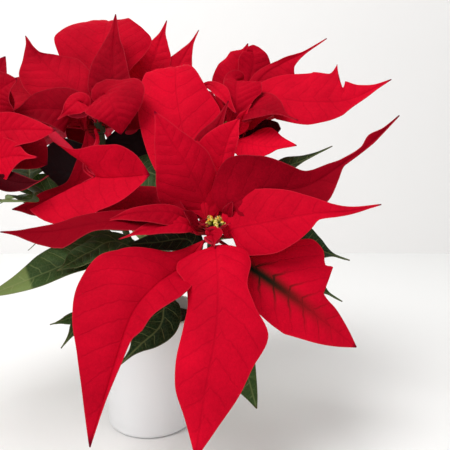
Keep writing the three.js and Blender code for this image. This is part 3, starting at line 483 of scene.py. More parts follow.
class Shape:
    """Points, faces and per-point marks of one piece, gathered from its parts."""

    def __init__(self):
        self.points = []
        self.faces = []
        self.marks = []
        self.count = 0

    def add(self, points, faces, **marks):
        points = np.asarray(points, float).reshape(-1, 3)
        values = np.zeros((len(points), len(MARKS)))
        for name, value in marks.items():
            values[:, MARKS.index(name)] = np.broadcast_to(value, len(points))
        self.points.append(points)
        self.marks.append(values)
        self.faces.extend([i + self.count for i in face] for face in faces)
        self.count += len(points)

    def piece(self, name, material, *nodes, slot):
        mesh = bpy.data.meshes.new(name)
        mesh.from_pydata((np.vstack(self.points) * MM).tolist(), [], self.faces)
        marks = np.vstack(self.marks).astype(np.float32)
        for column, mark in enumerate(MARKS):
            layer = mesh.attributes.new(mark, "FLOAT", "POINT")
            layer.data.foreach_set("value", np.ascontiguousarray(marks[:, column]))
        mesh.shade_smooth()
        mesh.set_sharp_from_angle(angle=math.radians(SHARP_ANGLE))
        mesh.materials.append(material)
        piece = placed(name, mesh)
        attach(piece, "root")
        if nodes:
            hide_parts(*nodes)


def grid_faces(rows, columns, start=0, flip=False, closed=False):
    """Quads over rows of points; closed joins each row's last point to its first."""
    faces = []
    for i in range(rows - 1):
        for j in range(columns if closed else columns - 1):
            a, b = start + i * columns + j, start + i * columns + (j + 1) % columns
            quad = (a, a + columns, b + columns, b)
            faces.append(quad[::-1] if flip else quad)
    return faces


def shell_faces(rows, columns):
    """Faces of a thin closed sheet: its upper points, then as many lower ones."""
    lower = rows * columns
    faces = grid_faces(rows, columns) + grid_faces(rows, columns, lower, flip=True)
    last = columns - 1
    for i in range(rows - 1):
        a, b = i * columns, (i + 1) * columns
        faces.append((a + last, b + last, b + last + lower, a + last + lower))
        faces.append((a + lower, b + lower, b, a))
    end = (rows - 1) * columns
    for j in range(columns - 1):
        faces.append((j, j + 1, j + 1 + lower, j + lower))
        faces.append((end + j + lower, end + j + 1 + lower, end + j + 1, end + j))
    return faces


def circle(sides):
    turn = np.arange(sides) * 2 * math.pi / sides
    return np.stack([np.cos(turn), np.sin(turn)], axis=1)


def frames_along(line, t):
    """At each place along a line: two directions square to it, without twist."""
    ways = line.way(t)
    side = np.cross(ways[0], ASIDE)
    sides = []
    for way in ways:
        side = unit(side - way * (side @ way))
        sides.append(side)
    sides = np.array(sides)
    return sides, np.cross(ways, sides)


def add_tube(shape, line, t, radii):
    """A closed round tube with a radius for each place t along a line."""
    side, over = frames_along(line, t)
    around = circle(TUBE_SIDES)
    ring = around[:, :1] * side[:, None] + around[:, 1:] * over[:, None]
    points = line.at(t)[:, None] + radii[:, None, None] * ring
    faces = grid_faces(len(t), TUBE_SIDES, flip=True, closed=True)
    top = (len(t) - 1) * TUBE_SIDES
    faces.append(tuple(range(TUBE_SIDES))[::-1])
    faces.append(tuple(range(top, top + TUBE_SIDES)))
    shape.add(points, faces)


def add_lathe(shape, profile, foot, axis, sides, **marks):
    """A closed solid turned round an axis; the profile's [radius, height] starts and ends on it."""
    axis = unit(np.array(axis, float))
    side = unit(np.cross(axis, ASIDE))
    over = np.cross(axis, side)
    ring = circle(sides) @ [side, over]
    inner = np.array(profile[1:-1], float)
    body = np.array(foot) + inner[:, 1, None, None] * axis + inner[:, 0, None, None] * ring
    ends = [np.array(foot) + height * axis for _, height in (profile[0], profile[-1])]
    points = np.vstack([body.reshape(-1, 3), ends])
    rows = len(inner)
    faces = grid_faces(rows, sides, flip=True, closed=True)
    first, last = rows * sides, rows * sides + 1
    for j in range(sides):
        k = (j + 1) % sides
        faces.append((first, k, j))
        faces.append((last, (rows - 1) * sides + j, (rows - 1) * sides + k))
    shape.add(points, faces, **marks)


# ---- blades ----


def both_halves(value):
    return value if isinstance(value, tuple) else (value, value)


def outline_rows(spec):
    """Rows of (place, left, right) from the elbow of the stalk to the tip."""
    left, right = both_halves(spec["half"])
    rows = spec["outline"] or [(t, share * left, share * right) for t, share in OVATE]
    first = (0, STALK_RADIUS, STALK_RADIUS)
    last = (1, TIP_HALF_WIDTH, TIP_HALF_WIDTH)
    return np.array([first, *rows, last], float)


def edge_widths(spec, rows, t, half):
    """Half-widths at places t: smooth through the outline's rows, and pointed at sharp ones."""
    width = smooth(rows[:, 0], rows[:, 1 + half], t)
    straight = np.interp(t, rows[:, 0], rows[:, 1 + half])
    for side, place in spec["sharp"]:
        if (side > 0) == (half == 0):
            share = np.exp(-(((t - place) / TOOTH_LENGTH) ** 2))
            width = width + (straight - width) * share
    return width


def calm_ends(t, steepness):
    """0 at both ends of a blade, and 1 from a little way in."""
    return np.minimum(1, steepness * np.minimum(t, 1 - t))


def blade_grid(spec, line, face, rows, t, across):
    """Points of a blade's middle surface, and how far each one lies from the rib and the edge."""
    way = line.way(t)
    normal = unit(face - (way @ face)[:, None] * way)
    left = np.cross(normal, way)
    grid = np.zeros((len(t), len(across), 3))
    from_rib = np.zeros(grid.shape[:2])
    from_edge = np.zeros(grid.shape[:2])
    calm = calm_ends(t, 4)
    first, second = rows[1, 0], rows[2, 0]
    ahead = np.clip((1 - t) / (1 - first), 0, 1)
    begun = np.clip((t - first) / (second - first), 0, 1)
    for j, place in enumerate(across):
        u = abs(place)
        side = 1 if place > 0 else -1
        half = 0 if place > 0 else 1
        width = edge_widths(spec, rows, t, half)
        fold = math.radians(both_halves(spec["fold"])[half])
        curl = math.radians(both_halves(spec["curl"])[half]) or 1e-6
        out = width * (math.sin(fold + curl * u) - math.sin(fold)) / curl
        up = width * (math.cos(fold) - math.cos(fold + curl * u)) / curl
        turns = spec["waves"] * t + spec["phase"] + (HALF_SHIFT if place > 0 else 0)
        ripple = spec["wave"] * u * u * calm * np.sin(2 * math.pi * turns)
        back = spec["sweep"][half] * u * ahead**SWEEP_POWER * begun
        grid[:, j] = (
            line.at(t)
            + (side * out)[:, None] * left
            + (up + ripple)[:, None] * normal
            - back[:, None] * way
        )
        from_rib[:, j] = width * u
        from_edge[:, j] = width * (1 - u)
    return grid, from_rib, from_edge


def surface_normals(grid):
    down = np.gradient(grid, axis=0)
    over = np.gradient(grid, axis=1)
    return unit(np.cross(down, over))


def vein_mark(t, length, across, from_rib):
    """A value that is whole along each side vein. The veins lean and bow towards the tip."""
    along = (t * length)[:, None]
    shift = np.where(across > 0, VEIN_SHIFT, 0)[None]
    start = along - VEIN_LEAN * from_rib - VEIN_BOW * from_rib**2
    return start * VEIN_COUNT / length + shift + VEIN_START


def surface_lift(dent, t, across, from_rib, from_edge, vein, rng):
    """How far a blade's surface stands out: broad, uneven swells, deeper towards the edges, with
    the side veins and the rib sunk in."""
    calm = calm_ends(t, 5)[:, None]
    swell = 0
    for turns, lean in SWELLS:
        phase = rng.uniform(0, 2 * math.pi)
        place = turns * t[:, None] + lean * across[None]
        swell = swell + np.sin(2 * math.pi * place + phase) / turns
    swell = swell * SWELL_SHARE * from_rib.max() * np.abs(across)[None] ** SWELL_POWER
    open_part = np.minimum(1, from_rib / RIB_ROOM) * np.minimum(1, from_edge / EDGE_ROOM)
    quilt = np.cos(2 * math.pi * vein) * open_part * dent
    groove = GROOVE_DEPTH * np.exp(-((from_rib / GROOVE_WIDTH) ** 2))
    return (swell - quilt - groove) * calm


def stalk_grid(root, elbow, face, across, share):
    """Points of a stalk's middle surface, at shares of its way from its root to its elbow."""
    way = unit(elbow - root)
    left = np.cross(unit(face - way * (face @ way)), way)
    middle = root + share[:, None, None] * (elbow - root)
    return middle + across[None, :, None] * left * STALK_RADIUS


def twice(values):
    """The marks of both sides of a sheet."""
    return np.stack([values, values]).ravel()


def add_blade(shape, given, kind, root, elbow, rng):
    """One bract or leaf with its stalk, as a thin closed sheet."""
    spec = {**kind, **given}
    points = ray_points(elbow, spec["ray"]) if spec["ray"] else spec["rib"]
    line = Line([elbow, *points])
    face = unit(np.array(spec["face"], float))
    rows = outline_rows(spec)
    t = np.unique(np.concatenate([np.linspace(0, 1, BLADE_ROWS), rows[:, 0]]).round(4))
    half = np.linspace(0, 1, BLADE_COLUMNS + 1) ** COLUMN_POWER
    across = np.concatenate([-half[:0:-1], half])
    grid, from_rib, from_edge = blade_grid(spec, line, face, rows, t, across)
    vein = vein_mark(t, line.length(), across, from_rib)
    lift = surface_lift(spec["dent"], t, across, from_rib, from_edge, vein, rng)
    grid = grid + surface_normals(grid) * lift[..., None]

    share = np.linspace(0, 1, STALK_ROWS, endpoint=False)
    grid = np.concatenate([stalk_grid(root, elbow, face, across, share), grid])
    reach = np.concatenate([share - 1, t])[:, None]
    stalk_share = np.clip(1 - reach / rows[2, 0], 0, 1)
    thick = BLADE_THICKNESS + (2 * STALK_RADIUS - BLADE_THICKNESS) * stalk_share
    round_off = np.sqrt(np.clip(1 - STALK_ROUNDING * stalk_share * across[None] ** 2, 0, 1))
    offset = (thick * round_off / 2)[..., None] * surface_normals(grid)
    both = np.stack([grid + offset, grid - offset])

    count = grid.shape[:2]
    pad = ((STALK_ROWS, 0), (0, 0))
    shape.add(
        both,
        shell_faces(*count),
        vein=twice(np.pad(vein, pad, "edge")),
        from_rib=twice(np.pad(from_rib, pad, "edge")),
        from_edge=twice(np.pad(from_edge, pad, "edge")),
        reach=twice(np.broadcast_to(reach, count)),
        under=np.repeat([0, 1], grid.size // 3),
        # the blade's painted light and shade, with a random spread of its own colour
        tone=spec["tone"] + rng.uniform(-1, 1),
        age=spec["age"],
        pale=spec["pale"],
    )


def stalk_way(spec, root, axis):
    """The direction in which a stalk leaves a stem, square to the stem's axis."""
    start = ray_points(root, spec["ray"])[0] if "ray" in spec else np.array(spec["rib"][0], float)
    way = start - root
    return unit(way - axis * (way @ axis))


# ---- materials ----


class Nodes:
    """Short calls for building one material's node tree."""

    def __init__(self, name, roughness, specular):
        self.material = bpy.data.materials.new(name)
        self.material.use_nodes = True
        self.tree = self.material.node_tree
        self.shader = self.tree.nodes["Principled BSDF"]
        self.shader.inputs["Roughness"].default_value = roughness
        self.shader.inputs["Specular IOR Level"].default_value = specular

    def set(self, socket, value):
        if isinstance(value, bpy.types.NodeSocket):
            self.tree.links.new(value, socket)
        elif isinstance(value, tuple) and socket.type == "RGBA":
            socket.default_value = (*value, 1)
        else:
            socket.default_value = value

    def put(self, kind, inputs, output=0, **settings):
        """Adds a node with its settings and inputs, and gives one of its outputs."""
        node = self.tree.nodes.new("ShaderNode" + kind)
        for name, value in settings.items():
            setattr(node, name, value)
        for socket, value in inputs.items():
            self.set(node.inputs[socket], value)
        return node.outputs[output]

    def mark(self, name):
        return self.put("Attribute", {}, "Fac", attribute_name=name)

    def math(self, operation, a, b, clamp=False):
        return self.put("Math", {0: a, 1: b}, operation=operation, use_clamp=clamp)

    def times(self, a, b):
        return self.math("MULTIPLY", a, b)

    def most(self, a, b):
        return self.math("MAXIMUM", a, b)

    def step(self, value, zero, one):
        """0 at the first place to 1 at the second, smooth in between. Either may be the larger."""
        inputs = {"Value": value, "From Min": zero, "From Max": one}
        return self.put("MapRange", inputs, "Result", interpolation_type="SMOOTHSTEP")

    def mix(self, share, a, b):
        """Two colours mixed; a Mix node's sockets for colours are 6, 7 and 2."""
        return self.put("Mix", {0: share, 6: a, 7: b}, 2, data_type="RGBA")

    def noise(self, scale, detail, stretch=(1, 1, 1)):
        place = self.put("TexCoord", {}, "Object")
        mapping = self.put("Mapping", {"Vector": place, "Scale": stretch})
        return self.put("TexNoise", {"Vector": mapping, "Scale": scale, "Detail": detail})

    def cells(self, scale):
        """Distance from the borders of a net of cells."""
        inputs = {"Vector": self.put("TexCoord", {}, "Object"), "Scale": scale}
        return self.put("TexVoronoi", inputs, "Distance", feature="DISTANCE_TO_EDGE")

    def bump(self, height, distance, strength):
        inputs = {"Height": height, "Distance": distance, "Strength": strength}
        self.set(self.shader.inputs["Normal"], self.put("Bump", inputs))

    def colour(self, value):
        self.set(self.shader.inputs["Base Color"], value)
        return self.material


HOLLOW_SHADE_TONES = (-6.5, -10)  # from the first tone to the second, a blade turns to the painted shade of a deep hollow
TURNED_TIP = (0.79, 0.81)  # where a pale blade's tip turns over, as shares of its length


def blade_material(name, look):
    """Colour, veins, rim and tip of a blade. look holds its colours and how strongly they show."""
    n = Nodes(name, look["roughness"], look["specular"])
    reach = n.mark("reach")
    from_rib = n.mark("from_rib")
    from_edge = n.mark("from_edge")
    fine = n.noise(420, 2)

    # the rib, the side veins and the fine net between them
    wander = n.times(n.math("SUBTRACT", n.noise(130, 2), 0.5), 0.35)
    phase = n.math("PINGPONG", n.math("ADD", n.mark("vein"), wander), 0.5)
    side_vein = n.times(n.step(phase, 0.07, 0.01), n.step(from_edge, 0.5, 5))
    veins = n.most(n.step(from_rib, 1.1, 0.3), side_vein)
    lines = n.most(veins, n.times(n.step(n.cells(330), 0.09, 0), look["net"]))

    # the upper side, lighter or darker by its tone: painted light and shade with a random spread,
    # and the painted shade of a deep hollow at the lowest tones; then the stain along its veins
    tone = n.math("ADD", n.times(n.mark("tone"), 0.12), n.times(n.noise(28, 3), 0.8))
    tone = n.math("ADD", tone, n.times(fine, 0.3), clamp=True)
    upper = n.mix(tone, look["dark"], look["light"])
    upper = n.mix(n.times(lines, look["vein_share"]), upper, look["vein"])
    upper = n.mix(n.step(n.mark("tone"), *HOLLOW_SHADE_TONES), upper, look["deep"])
    close = n.step(from_rib, 20, 0.5)
    stained = n.most(n.times(n.step(phase, 0.2, 0.02), close), n.math("POWER", close, 5))
    stain = n.times(n.mark("age"), n.step(reach, 0.95, 0.4))
    upper = n.mix(n.times(stain, stained), upper, look["stain"])

    # the lower side, which a turned tip shows too
    lower = n.mix(n.times(lines, 0.4), look["back"], look["back_vein"])
    turned = n.times(n.mark("pale"), n.step(reach, *TURNED_TIP))
    colour = n.mix(n.most(n.mark("under"), turned), upper, lower)

    # the rim, the tip and the stalk
    edge = n.times(n.step(from_edge, 0.9, 0.25), n.step(reach, 0.12, 0.3))
    colour = n.mix(n.times(edge, look["rim_share"]), colour, look["rim"])
    colour = n.mix(n.step(reach, 0.965, 1), colour, look["tip"])
    colour = n.mix(n.step(reach, 0.12, -0.15), colour, look["stalk"])

    relief = n.math("ADD", n.times(lines, -1), n.times(fine, 0.25))
    relief = n.math("ADD", relief, n.times(n.noise(65, 2), look["crumple"]))
    n.bump(relief, 0.0004, 0.5)
    return n.colour(colour)


# in both looks, light and dark are the ends of a blade's tone, which paints light and shade on it;
# the last colour is the painted shade of a deep hollow
BRACT_LOOK = dict(
    roughness=0.7, specular=0.03, net=0.3, vein_share=0.18, rim_share=0.13, crumple=4,
    light=(0.7, 0.002, 0.022), dark=(0.24, 0, 0.007), vein=(0.2, 0, 0.007),
    back=(0.52, 0.012, 0.035), back_vein=(0.6, 0.05, 0.07), rim=(0.75, 0.07, 0.1),
    tip=(0.12, 0, 0.01), stalk=(0.25, 0.01, 0.012), stain=(0.008, 0.009, 0.004),
    deep=(0.03, 0.001, 0.003),
)
LEAF_LOOK = dict(
    roughness=0.55, specular=0.1, net=0.3, vein_share=0.5, rim_share=0.25, crumple=3,
    light=(0.055, 0.11, 0.025), dark=(0.006, 0.022, 0.007), vein=(0.2, 0.26, 0.09),
    back=(0.17, 0.24, 0.07), back_vein=(0.3, 0.35, 0.14), rim=(0.2, 0.14, 0.08),
    tip=(0.08, 0.06, 0.02), stalk=(0.1, 0.08, 0.025), stain=(0.01, 0.01, 0.005),
    deep=(0.014, 0.004, 0.005),
)


def stem_material():
    n = Nodes("green_stem", 0.5, 0.3)
    colour = n.mix(n.noise(60, 3), (0.012, 0.03, 0.008), (0.05, 0.075, 0.018))
    streaks = n.noise(300, 3, (1, 1, 0.15))
    n.bump(streaks, 0.0004, 0.5)
    return n.colour(n.mix(n.times(streaks, 0.4), colour, (0.07, 0.04, 0.015)))


def wood_material():
    n = Nodes("bark", 0.8, 0.2)
    streaks = n.noise(260, 5, (1, 1, 0.2))
    n.bump(streaks, 0.0008, 0.8)
    return n.colour(n.mix(streaks, (0.05, 0.035, 0.015), (0.2, 0.16, 0.09)))


def pot_material():
    n = Nodes("white_pot", 0.38, 0.4)
    n.bump(n.noise(700, 2), 0.00012, 0.35)
    return n.colour(n.mix(n.noise(18, 4), (0.87, 0.88, 0.89), (0.92, 0.92, 0.92)))


def soil_material():
    n = Nodes("peat", 0.95, 0.1)
    grain = n.noise(500, 6)
    n.bump(grain, 0.002, 1)
    return n.colour(n.mix(grain, (0.012, 0.008, 0.005), (0.06, 0.038, 0.024)))


CUP, GLAND, SCALE, STAMEN = 0, 1, 2, 3  # parts of a cyathium, told apart by their tone


def cyathium_material():
    n = Nodes("cyathium", 0.4, 0.4)
    reach = n.mark("reach")
    ripe = n.step(n.noise(160, 1), 0.42, 0.6)
    colour = n.mix(reach, (0.03, 0.05, 0.008), (0.32, 0.3, 0.02))
    for part, part_colour in (
        (GLAND, n.mix(ripe, (0.7, 0.6, 0.12), (0.8, 0.28, 0.01))),
        (SCALE, (0.06, 0.002, 0.004)),
        (STAMEN, n.mix(reach, (0.4, 0.03, 0.006), (0.75, 0.55, 0.16))),
    ):
        colour = n.mix(n.math("GREATER_THAN", n.mark("tone"), part - 0.5), colour, part_colour)
    n.bump(n.noise(900, 2), 0.0001, 0.4)
    return n.colour(colour)


BRACT_SURFACE = blade_material("bract", BRACT_LOOK)
LEAF_SURFACE = blade_material("leaf", LEAF_LOOK)
STEM_SURFACE = stem_material()
CYATHIUM_SURFACE = cyathium_material()

# ---- pot and soil ----

CORNER_ROOM = 6  # plain wall above the rounded corner and below the lip
LIP_ROOM = 8
FOOT_ROOM = 4  # plain foot inside the rounded corner
WALL_ROWS, INNER_ROWS, CORNER_STEPS, LIP_STEPS = 12, 8, 8, 10
SOIL_RINGS = 34
LUMP_SIZES = (2.2, 4.1, 7.5)
LUMP_HEIGHT = 0.07
LUMP_POWER = 0.7  # under 1, larger lumps are flatter for their size
LUMP_WAVES = 6  # of each size
FADE_PARTS = 12  # the lumps fade out in the outermost of so many parts of the radius
MOUND = ((0, 0.4, 0.65, 1), (1, 0.7, 0.3, 0))  # height of the soil's mound, from its middle out


def wall_radius(z):
    flare = (POT_TOP_RADIUS - POT_BASE_RADIUS) / (POT_HEIGHT - POT_CORNER)
    return POT_BASE_RADIUS + flare * (z - POT_CORNER)


def arc(centre, radius, start, end, steps):
    turns = np.radians(np.linspace(start, end, steps + 1))
    return [(centre[0] + radius * math.cos(a), centre[1] + radius * math.sin(a)) for a in turns]


def make_pot():
    lip = POT_WALL / 2
    inside = POT_FLOOR + POT_CORNER
    below_lip = POT_HEIGHT - LIP_ROOM
    heights = np.linspace(POT_CORNER + CORNER_ROOM, below_lip, WALL_ROWS)
    wall = [(wall_radius(z), z) for z in heights]
    inner = [(wall_radius(z) - POT_WALL, z) for z in np.linspace(below_lip, inside, INNER_ROWS)]
    profile = [
        (0, 0),
        (POT_BASE_RADIUS - POT_CORNER - FOOT_ROOM, 0),
        *arc((POT_BASE_RADIUS - POT_CORNER, POT_CORNER), POT_CORNER, -90, 0, CORNER_STEPS),
        *wall,
        *arc((POT_TOP_RADIUS - lip, POT_HEIGHT - lip), lip, 0, 180, LIP_STEPS),
        *inner,
        (wall_radius(POT_FLOOR) - POT_WALL - POT_CORNER, POT_FLOOR),
        (0, POT_FLOOR),
    ]
    shape = Shape()
    add_lathe(shape, profile, (0, 0, 0), (0, 0, 1), LATHE_SIDES)
    shape.piece("pot_body", pot_material(), "pot", slot="pot")


def make_soil():
    """A closed lump of peat: a flat bottom, a wall, and rings of lumpy ground to the middle."""
    rng = np.random.default_rng(3)
    bottom = POT_FLOOR + POT_CORNER + SEAT_GAP
    edge = POT_WALL + SEAT_GAP
    share = np.linspace(1, 0, SOIL_RINGS, endpoint=False)
    height = SOIL_TOP + SOIL_MOUND * np.interp(share, *MOUND)
    ring = circle(LATHE_SIDES)
    flat = share[:, None, None] * (wall_radius(SOIL_TOP) - edge) * ring[None]
    lumps = np.zeros(flat.shape[:2])
    for scale in LUMP_SIZES:
        for _ in range(LUMP_WAVES):
            lean = rng.uniform(0, 2 * math.pi)
            wave = flat @ np.array([math.cos(lean), math.sin(lean)]) / scale
            phase = rng.uniform(0, 6.3)
            lumps += np.sin(wave * 2 * math.pi + phase) * LUMP_HEIGHT * scale**LUMP_POWER
    lumps *= np.clip((1 - share) * FADE_PARTS, 0, 1)[:, None]
    top = np.concatenate([flat, (height[:, None] + lumps)[..., None]], axis=2)
    low_ring = ring * (wall_radius(bottom) - edge)
    low = np.concatenate([low_ring, np.full((LATHE_SIDES, 1), bottom)], axis=1)
    points = np.vstack([low, top.reshape(-1, 3), [(0, 0, SOIL_TOP + SOIL_MOUND)]])
    faces = grid_faces(SOIL_RINGS + 1, LATHE_SIDES, flip=True, closed=True)
    inner = SOIL_RINGS * LATHE_SIDES
    last = inner + LATHE_SIDES
    faces.extend((last, inner + j, inner + (j + 1) % LATHE_SIDES) for j in range(LATHE_SIDES))
    faces.append(tuple(range(LATHE_SIDES))[::-1])
    shape = Shape()
    shape.add(points, faces)
    shape.piece("soil_mound", soil_material(), "soil", slot="soil")


# ---- stems ----

NODE_SPACING = 14
NODE_LENGTH = 1.8
NODE_SWELL = 0.05
KNOB_SHARE = 1.2  # of the trunk's radius, where it forks
STUB_SHARES = (1.2, 1.05)  # of a branch's radius, from the fork out
TRUNK_ROWS = 30
KNOB_ROWS = 13
STUB_ROWS = 8
STEM_ROWS = 60


def stem_radii(t, length, base):
    """A stem's radius along its length, a little thicker at each node."""
    along = t * length
    swell = np.exp(-(((along % NODE_SPACING) - NODE_SPACING / 2) / NODE_LENGTH) ** 2)
    return base * (1 - NODE_SWELL + NODE_SWELL * swell)


def make_trunk():
    shape = Shape()
    trunk = Line([(FORK[0], FORK[1], TRUNK_FOOT), FORK])
    t = np.linspace(0, 1, TRUNK_ROWS)
    add_tube(shape, trunk, t, stem_radii(t, FORK[2] - TRUNK_FOOT, TRUNK_RADIUS))
    knob = TRUNK_RADIUS * KNOB_SHARE
    turns = np.linspace(0, math.pi, KNOB_ROWS)
    profile = [(knob * math.sin(a), -knob * math.cos(a)) for a in turns]
    add_lathe(shape, profile, FORK, (0, 0, 1), ROUND_SIDES)
    for name in BRANCHES:
        line = branch_line(name)
        t = line.at_share(np.linspace(0, STUB_SHARE, STUB_ROWS))
        add_tube(shape, line, t, BRANCH_RADIUS * np.linspace(*STUB_SHARES, STUB_ROWS))
    shape.piece("trunk", wood_material(), "woody_stem", slot="wood")


def make_branch(name, seed):
    """A green shoot, and its leaves as one piece."""
    rng = np.random.default_rng(seed)
    line = branch_line(name)
    length = line.length()
    share = np.linspace(STUB_SHARE + SEAT_GAP / length, 1, STEM_ROWS)
    stem = Shape()
    add_tube(stem, line, line.at_share(share), stem_radii(share, length, BRANCH_RADIUS))
    stem.piece(f"shoot_{name}", STEM_SURFACE, slot="leaf")
    leaves = Shape()
    for leaf in BRANCHES[name]["leaves"]:
        root = line.at(line.at_share(leaf["root"]))
        way = stalk_way(leaf, root, np.array((0, 0, 1)))
        add_blade(leaves, leaf, LEAF, root, root + ELBOW * way, rng)
    leaves.piece(f"leaves_{name}", LEAF_SURFACE, f"branch_{name}", slot="leaf")


# ---- heads ----

YOUNG_BRACTS = 8  # small dark ones close round the cyathia: darker as young bracts are, with the painted shade of that hollow added by their low tone


def young_bract(azimuth, rng):
    azimuth += rng.uniform(-15, 15)
    rise = rng.uniform(25, 55)
    length = rng.uniform(11, 15)
    root = CORE_HEIGHT - 2 * STALK_RADIUS
    return ray(root, azimuth, rise, 30, length, half=4.5, wave=0.4, tone=-8)


def add_bract(shape, bract, elbow, foot, axis, rng):
    """A bract on the core of its head, with the elbow of its stalk so far from the axis."""
    middle = foot + axis * (bract["root"] + STALK_RADIUS)
    way = stalk_way(bract, middle, axis)
    add_blade(shape, bract, BRACT, middle + way * ROOT_RADIUS, middle + way * elbow, rng)


def make_rosette(name, seed):
    """The thick top of a shoot, and its bracts as one piece."""
    rng = np.random.default_rng(seed)
    axis = branch_line(name).way(1.0)
    foot = np.array(HEADS[name]["top"]) + SEAT_GAP * axis
    core = Shape()
    profile = [
        (0, 0),
        (CORE_RADIUS * 0.8, 0),
        (CORE_RADIUS, 2),
        (CORE_RADIUS, CORE_HEIGHT - 2),
        (CORE_RADIUS * 0.85, CORE_HEIGHT),
        (0, CORE_HEIGHT),
    ]
    add_lathe(core, profile, foot, axis, ROUND_SIDES)
    core.piece(f"stem_top_{name}", STEM_SURFACE, slot="leaf")
    shape = Shape()
    for bract in HEADS[name]["bracts"]:
        add_bract(shape, bract, ELBOW, foot, axis, rng)
    for i in range(YOUNG_BRACTS):
        young = young_bract(360 * i / YOUNG_BRACTS, rng)
        add_bract(shape, young, CORE_RADIUS, foot, axis, rng)
    shape.piece(f"rosette_{name}", BRACT_SURFACE, f"bracts_{name}", slot="bract")


# ---- cyathia ----

CUP_PROFILE = ((0, 0), (0.9, 0.5), (1.7, 1.8), (2.1, 3.4), (2, 4.8), (1.5, 5.6), (1.1, 5.4), (0, 5))
GLAND_PROFILE = ((0, -0.8), (0.9, -0.6), (1.5, 0), (1.1, 0.6), (0.5, 0.7), (0, 0.5))
SCALE_PROFILE = ((0, 0), (0.8, 0.6), (1.1, 2.5), (0.8, 5), (0.3, 6.8), (0, 7.2))
STAMEN_PROFILE = ((0, 0), (0.16, 0.1), (0.16, 1.6), (0.42, 1.9), (0.42, 2.3), (0, 2.5))
CUSHION_SIDES, CUP_SIDES, GLAND_SIDES, SCALE_SIDES, STAMEN_SIDES = 20, 16, 10, 8, 6
CUP_SPREAD = 0.7  # of the core's radius
CUP_SINK = 0.6  # of the cushion's height
GLAND_HEIGHT = 4
GLAND_OUT = 2
GLAND_LEAN = 65
STAMEN_COUNT = 6
STAMEN_HEIGHT = 4.6
SCALE_LEAN = 12  # more than its cup's


def lean_way(axis, degrees, azimuth):
    """The way that leans from an axis by some degrees, towards an azimuth round it."""
    side = unit(np.cross(axis, ASIDE))
    over = np.cross(axis, side)
    lean, turn = math.radians(degrees), math.radians(azimuth)
    return math.sin(lean) * (math.cos(turn) * side + math.sin(turn) * over) + math.cos(lean) * axis


def add_knob(shape, profile, foot, axis, sides, part):
    """A small lathe with its part of the cyathium as tone, and its share of height as reach."""
    heights = np.array([height for _, height in profile], float)
    share = (heights - heights.min()) / (heights.max() - heights.min())
    reach = np.concatenate([np.repeat(share[1:-1], sides), share[[0, -1]]])
    add_lathe(shape, profile, foot, axis, sides, tone=part, reach=reach)


def make_flowers(name, seed):
    """Green cups with yellow glands and small stamens, dark scales between them."""
    rng = np.random.default_rng(seed)
    axis = branch_line(name).way(1.0)
    foot = np.array(HEADS[name]["top"]) + axis * (CORE_HEIGHT + 2 * SEAT_GAP)
    cushion = [(0, 0), (CORE_RADIUS, 0), (CORE_RADIUS * 0.8, CUSHION_HEIGHT), (0, CUSHION_HEIGHT)]
    shape = Shape()
    add_knob(shape, cushion, foot, axis, CUSHION_SIDES, SCALE)
    for degrees, count in CUP_RINGS:
        for i in range(count):
            azimuth = 360 * (i + count / 3) / count
            spread = lean_way(axis, 90, azimuth) * math.sin(math.radians(degrees)) * CORE_RADIUS
            base = foot + spread * CUP_SPREAD + axis * CUSHION_HEIGHT * CUP_SINK
            way = lean_way(axis, degrees, azimuth)
            add_knob(shape, CUP_PROFILE, base, way, CUP_SIDES, CUP)
            for turn in (azimuth, azimuth + rng.uniform(120, 240)):
                gland = lean_way(way, GLAND_LEAN, turn + rng.uniform(-40, 40))
                place = base + GLAND_HEIGHT * way + GLAND_OUT * gland
                add_knob(shape, GLAND_PROFILE, place, gland, GLAND_SIDES, GLAND)
            for _ in range(STAMEN_COUNT):
                stamen = lean_way(way, rng.uniform(0, 35), rng.uniform(0, 360))
                place = base + STAMEN_HEIGHT * way
                add_knob(shape, STAMEN_PROFILE, place, stamen, STAMEN_SIDES, STAMEN)
            scale = lean_way(axis, degrees + SCALE_LEAN, azimuth + 180 / count)
            add_knob(shape, SCALE_PROFILE, base, scale, SCALE_SIDES, SCALE)
    shape.piece(f"flowers_{name}", CYATHIUM_SURFACE, f"cyathia_{name}", slot="cyathia")


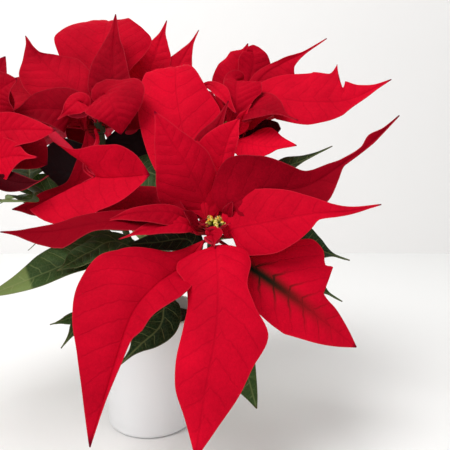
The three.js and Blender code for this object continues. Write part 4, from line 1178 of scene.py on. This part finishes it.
make_pot()
make_soil()
make_trunk()
for number, head in enumerate(HEADS):
    make_branch(head, 10 + number)
    make_rosette(head, 20 + number)
    make_flowers(head, 30 + number)

# ---- floor, wall, light and camera, in metres ----

CAMERA_PLACE = (0.070, -0.439, 0.249)
CAMERA_PITCH = 8
CAMERA_ANGLE = 50
STAGE_SIDE = 6.0
WALL_DISTANCE = 0.80
WALL_HEIGHT = 4
SKY_STRENGTH = 0.55


def stage_plane(name, near, far, colour):
    """A level or upright plane as wide as the stage, between two (y, z)."""
    mesh = bpy.data.meshes.new(name)
    corners = [(-STAGE_SIDE, *near), (STAGE_SIDE, *near), (STAGE_SIDE, *far), (-STAGE_SIDE, *far)]
    mesh.from_pydata(corners, [], [(0, 1, 2, 3)])
    n = Nodes(name, 0.6, 0.2)
    mesh.materials.append(n.colour(n.mix(n.noise(3, 3), tuple(0.99 * x for x in colour), colour)))
    plane = placed(name, mesh)


def area_light(name, place, target, size, power):
    data = bpy.data.lights.new(name, "AREA")
    data.shape = "DISK"
    data.size = size
    data.energy = power
    light = placed(name, data)
    light.location = place
    light.rotation_mode = "QUATERNION"
    way = mathutils.Vector(target) - mathutils.Vector(place)
    light.rotation_quaternion = way.to_track_quat("-Z", "Y")


stage_plane("floor", (-STAGE_SIDE, 0), (WALL_DISTANCE, 0), (0.9, 0.9, 0.89))
stage_plane("wall", (WALL_DISTANCE, 0), (WALL_DISTANCE, WALL_HEIGHT), (0.9, 0.89, 0.88))
area_light("key", (-0.7, -0.8, 1.9), (0, 0, 0.2), size=1.3, power=34)

world = bpy.data.worlds.new("studio")
world.use_nodes = True
sky = world.node_tree.nodes["Background"]
sky.inputs["Color"].default_value = (1, 1, 1, 1)
sky.inputs["Strength"].default_value = SKY_STRENGTH
bpy.context.scene.world = world
bpy.context.scene.view_settings.view_transform = "Standard"

camera_data = bpy.data.cameras.new("camera")
camera_data.angle = math.radians(CAMERA_ANGLE)
camera = placed("camera", camera_data)
camera.location = CAMERA_PLACE
camera.rotation_euler = (math.radians(90 - CAMERA_PITCH), 0, 0)
bpy.context.scene.camera = camera
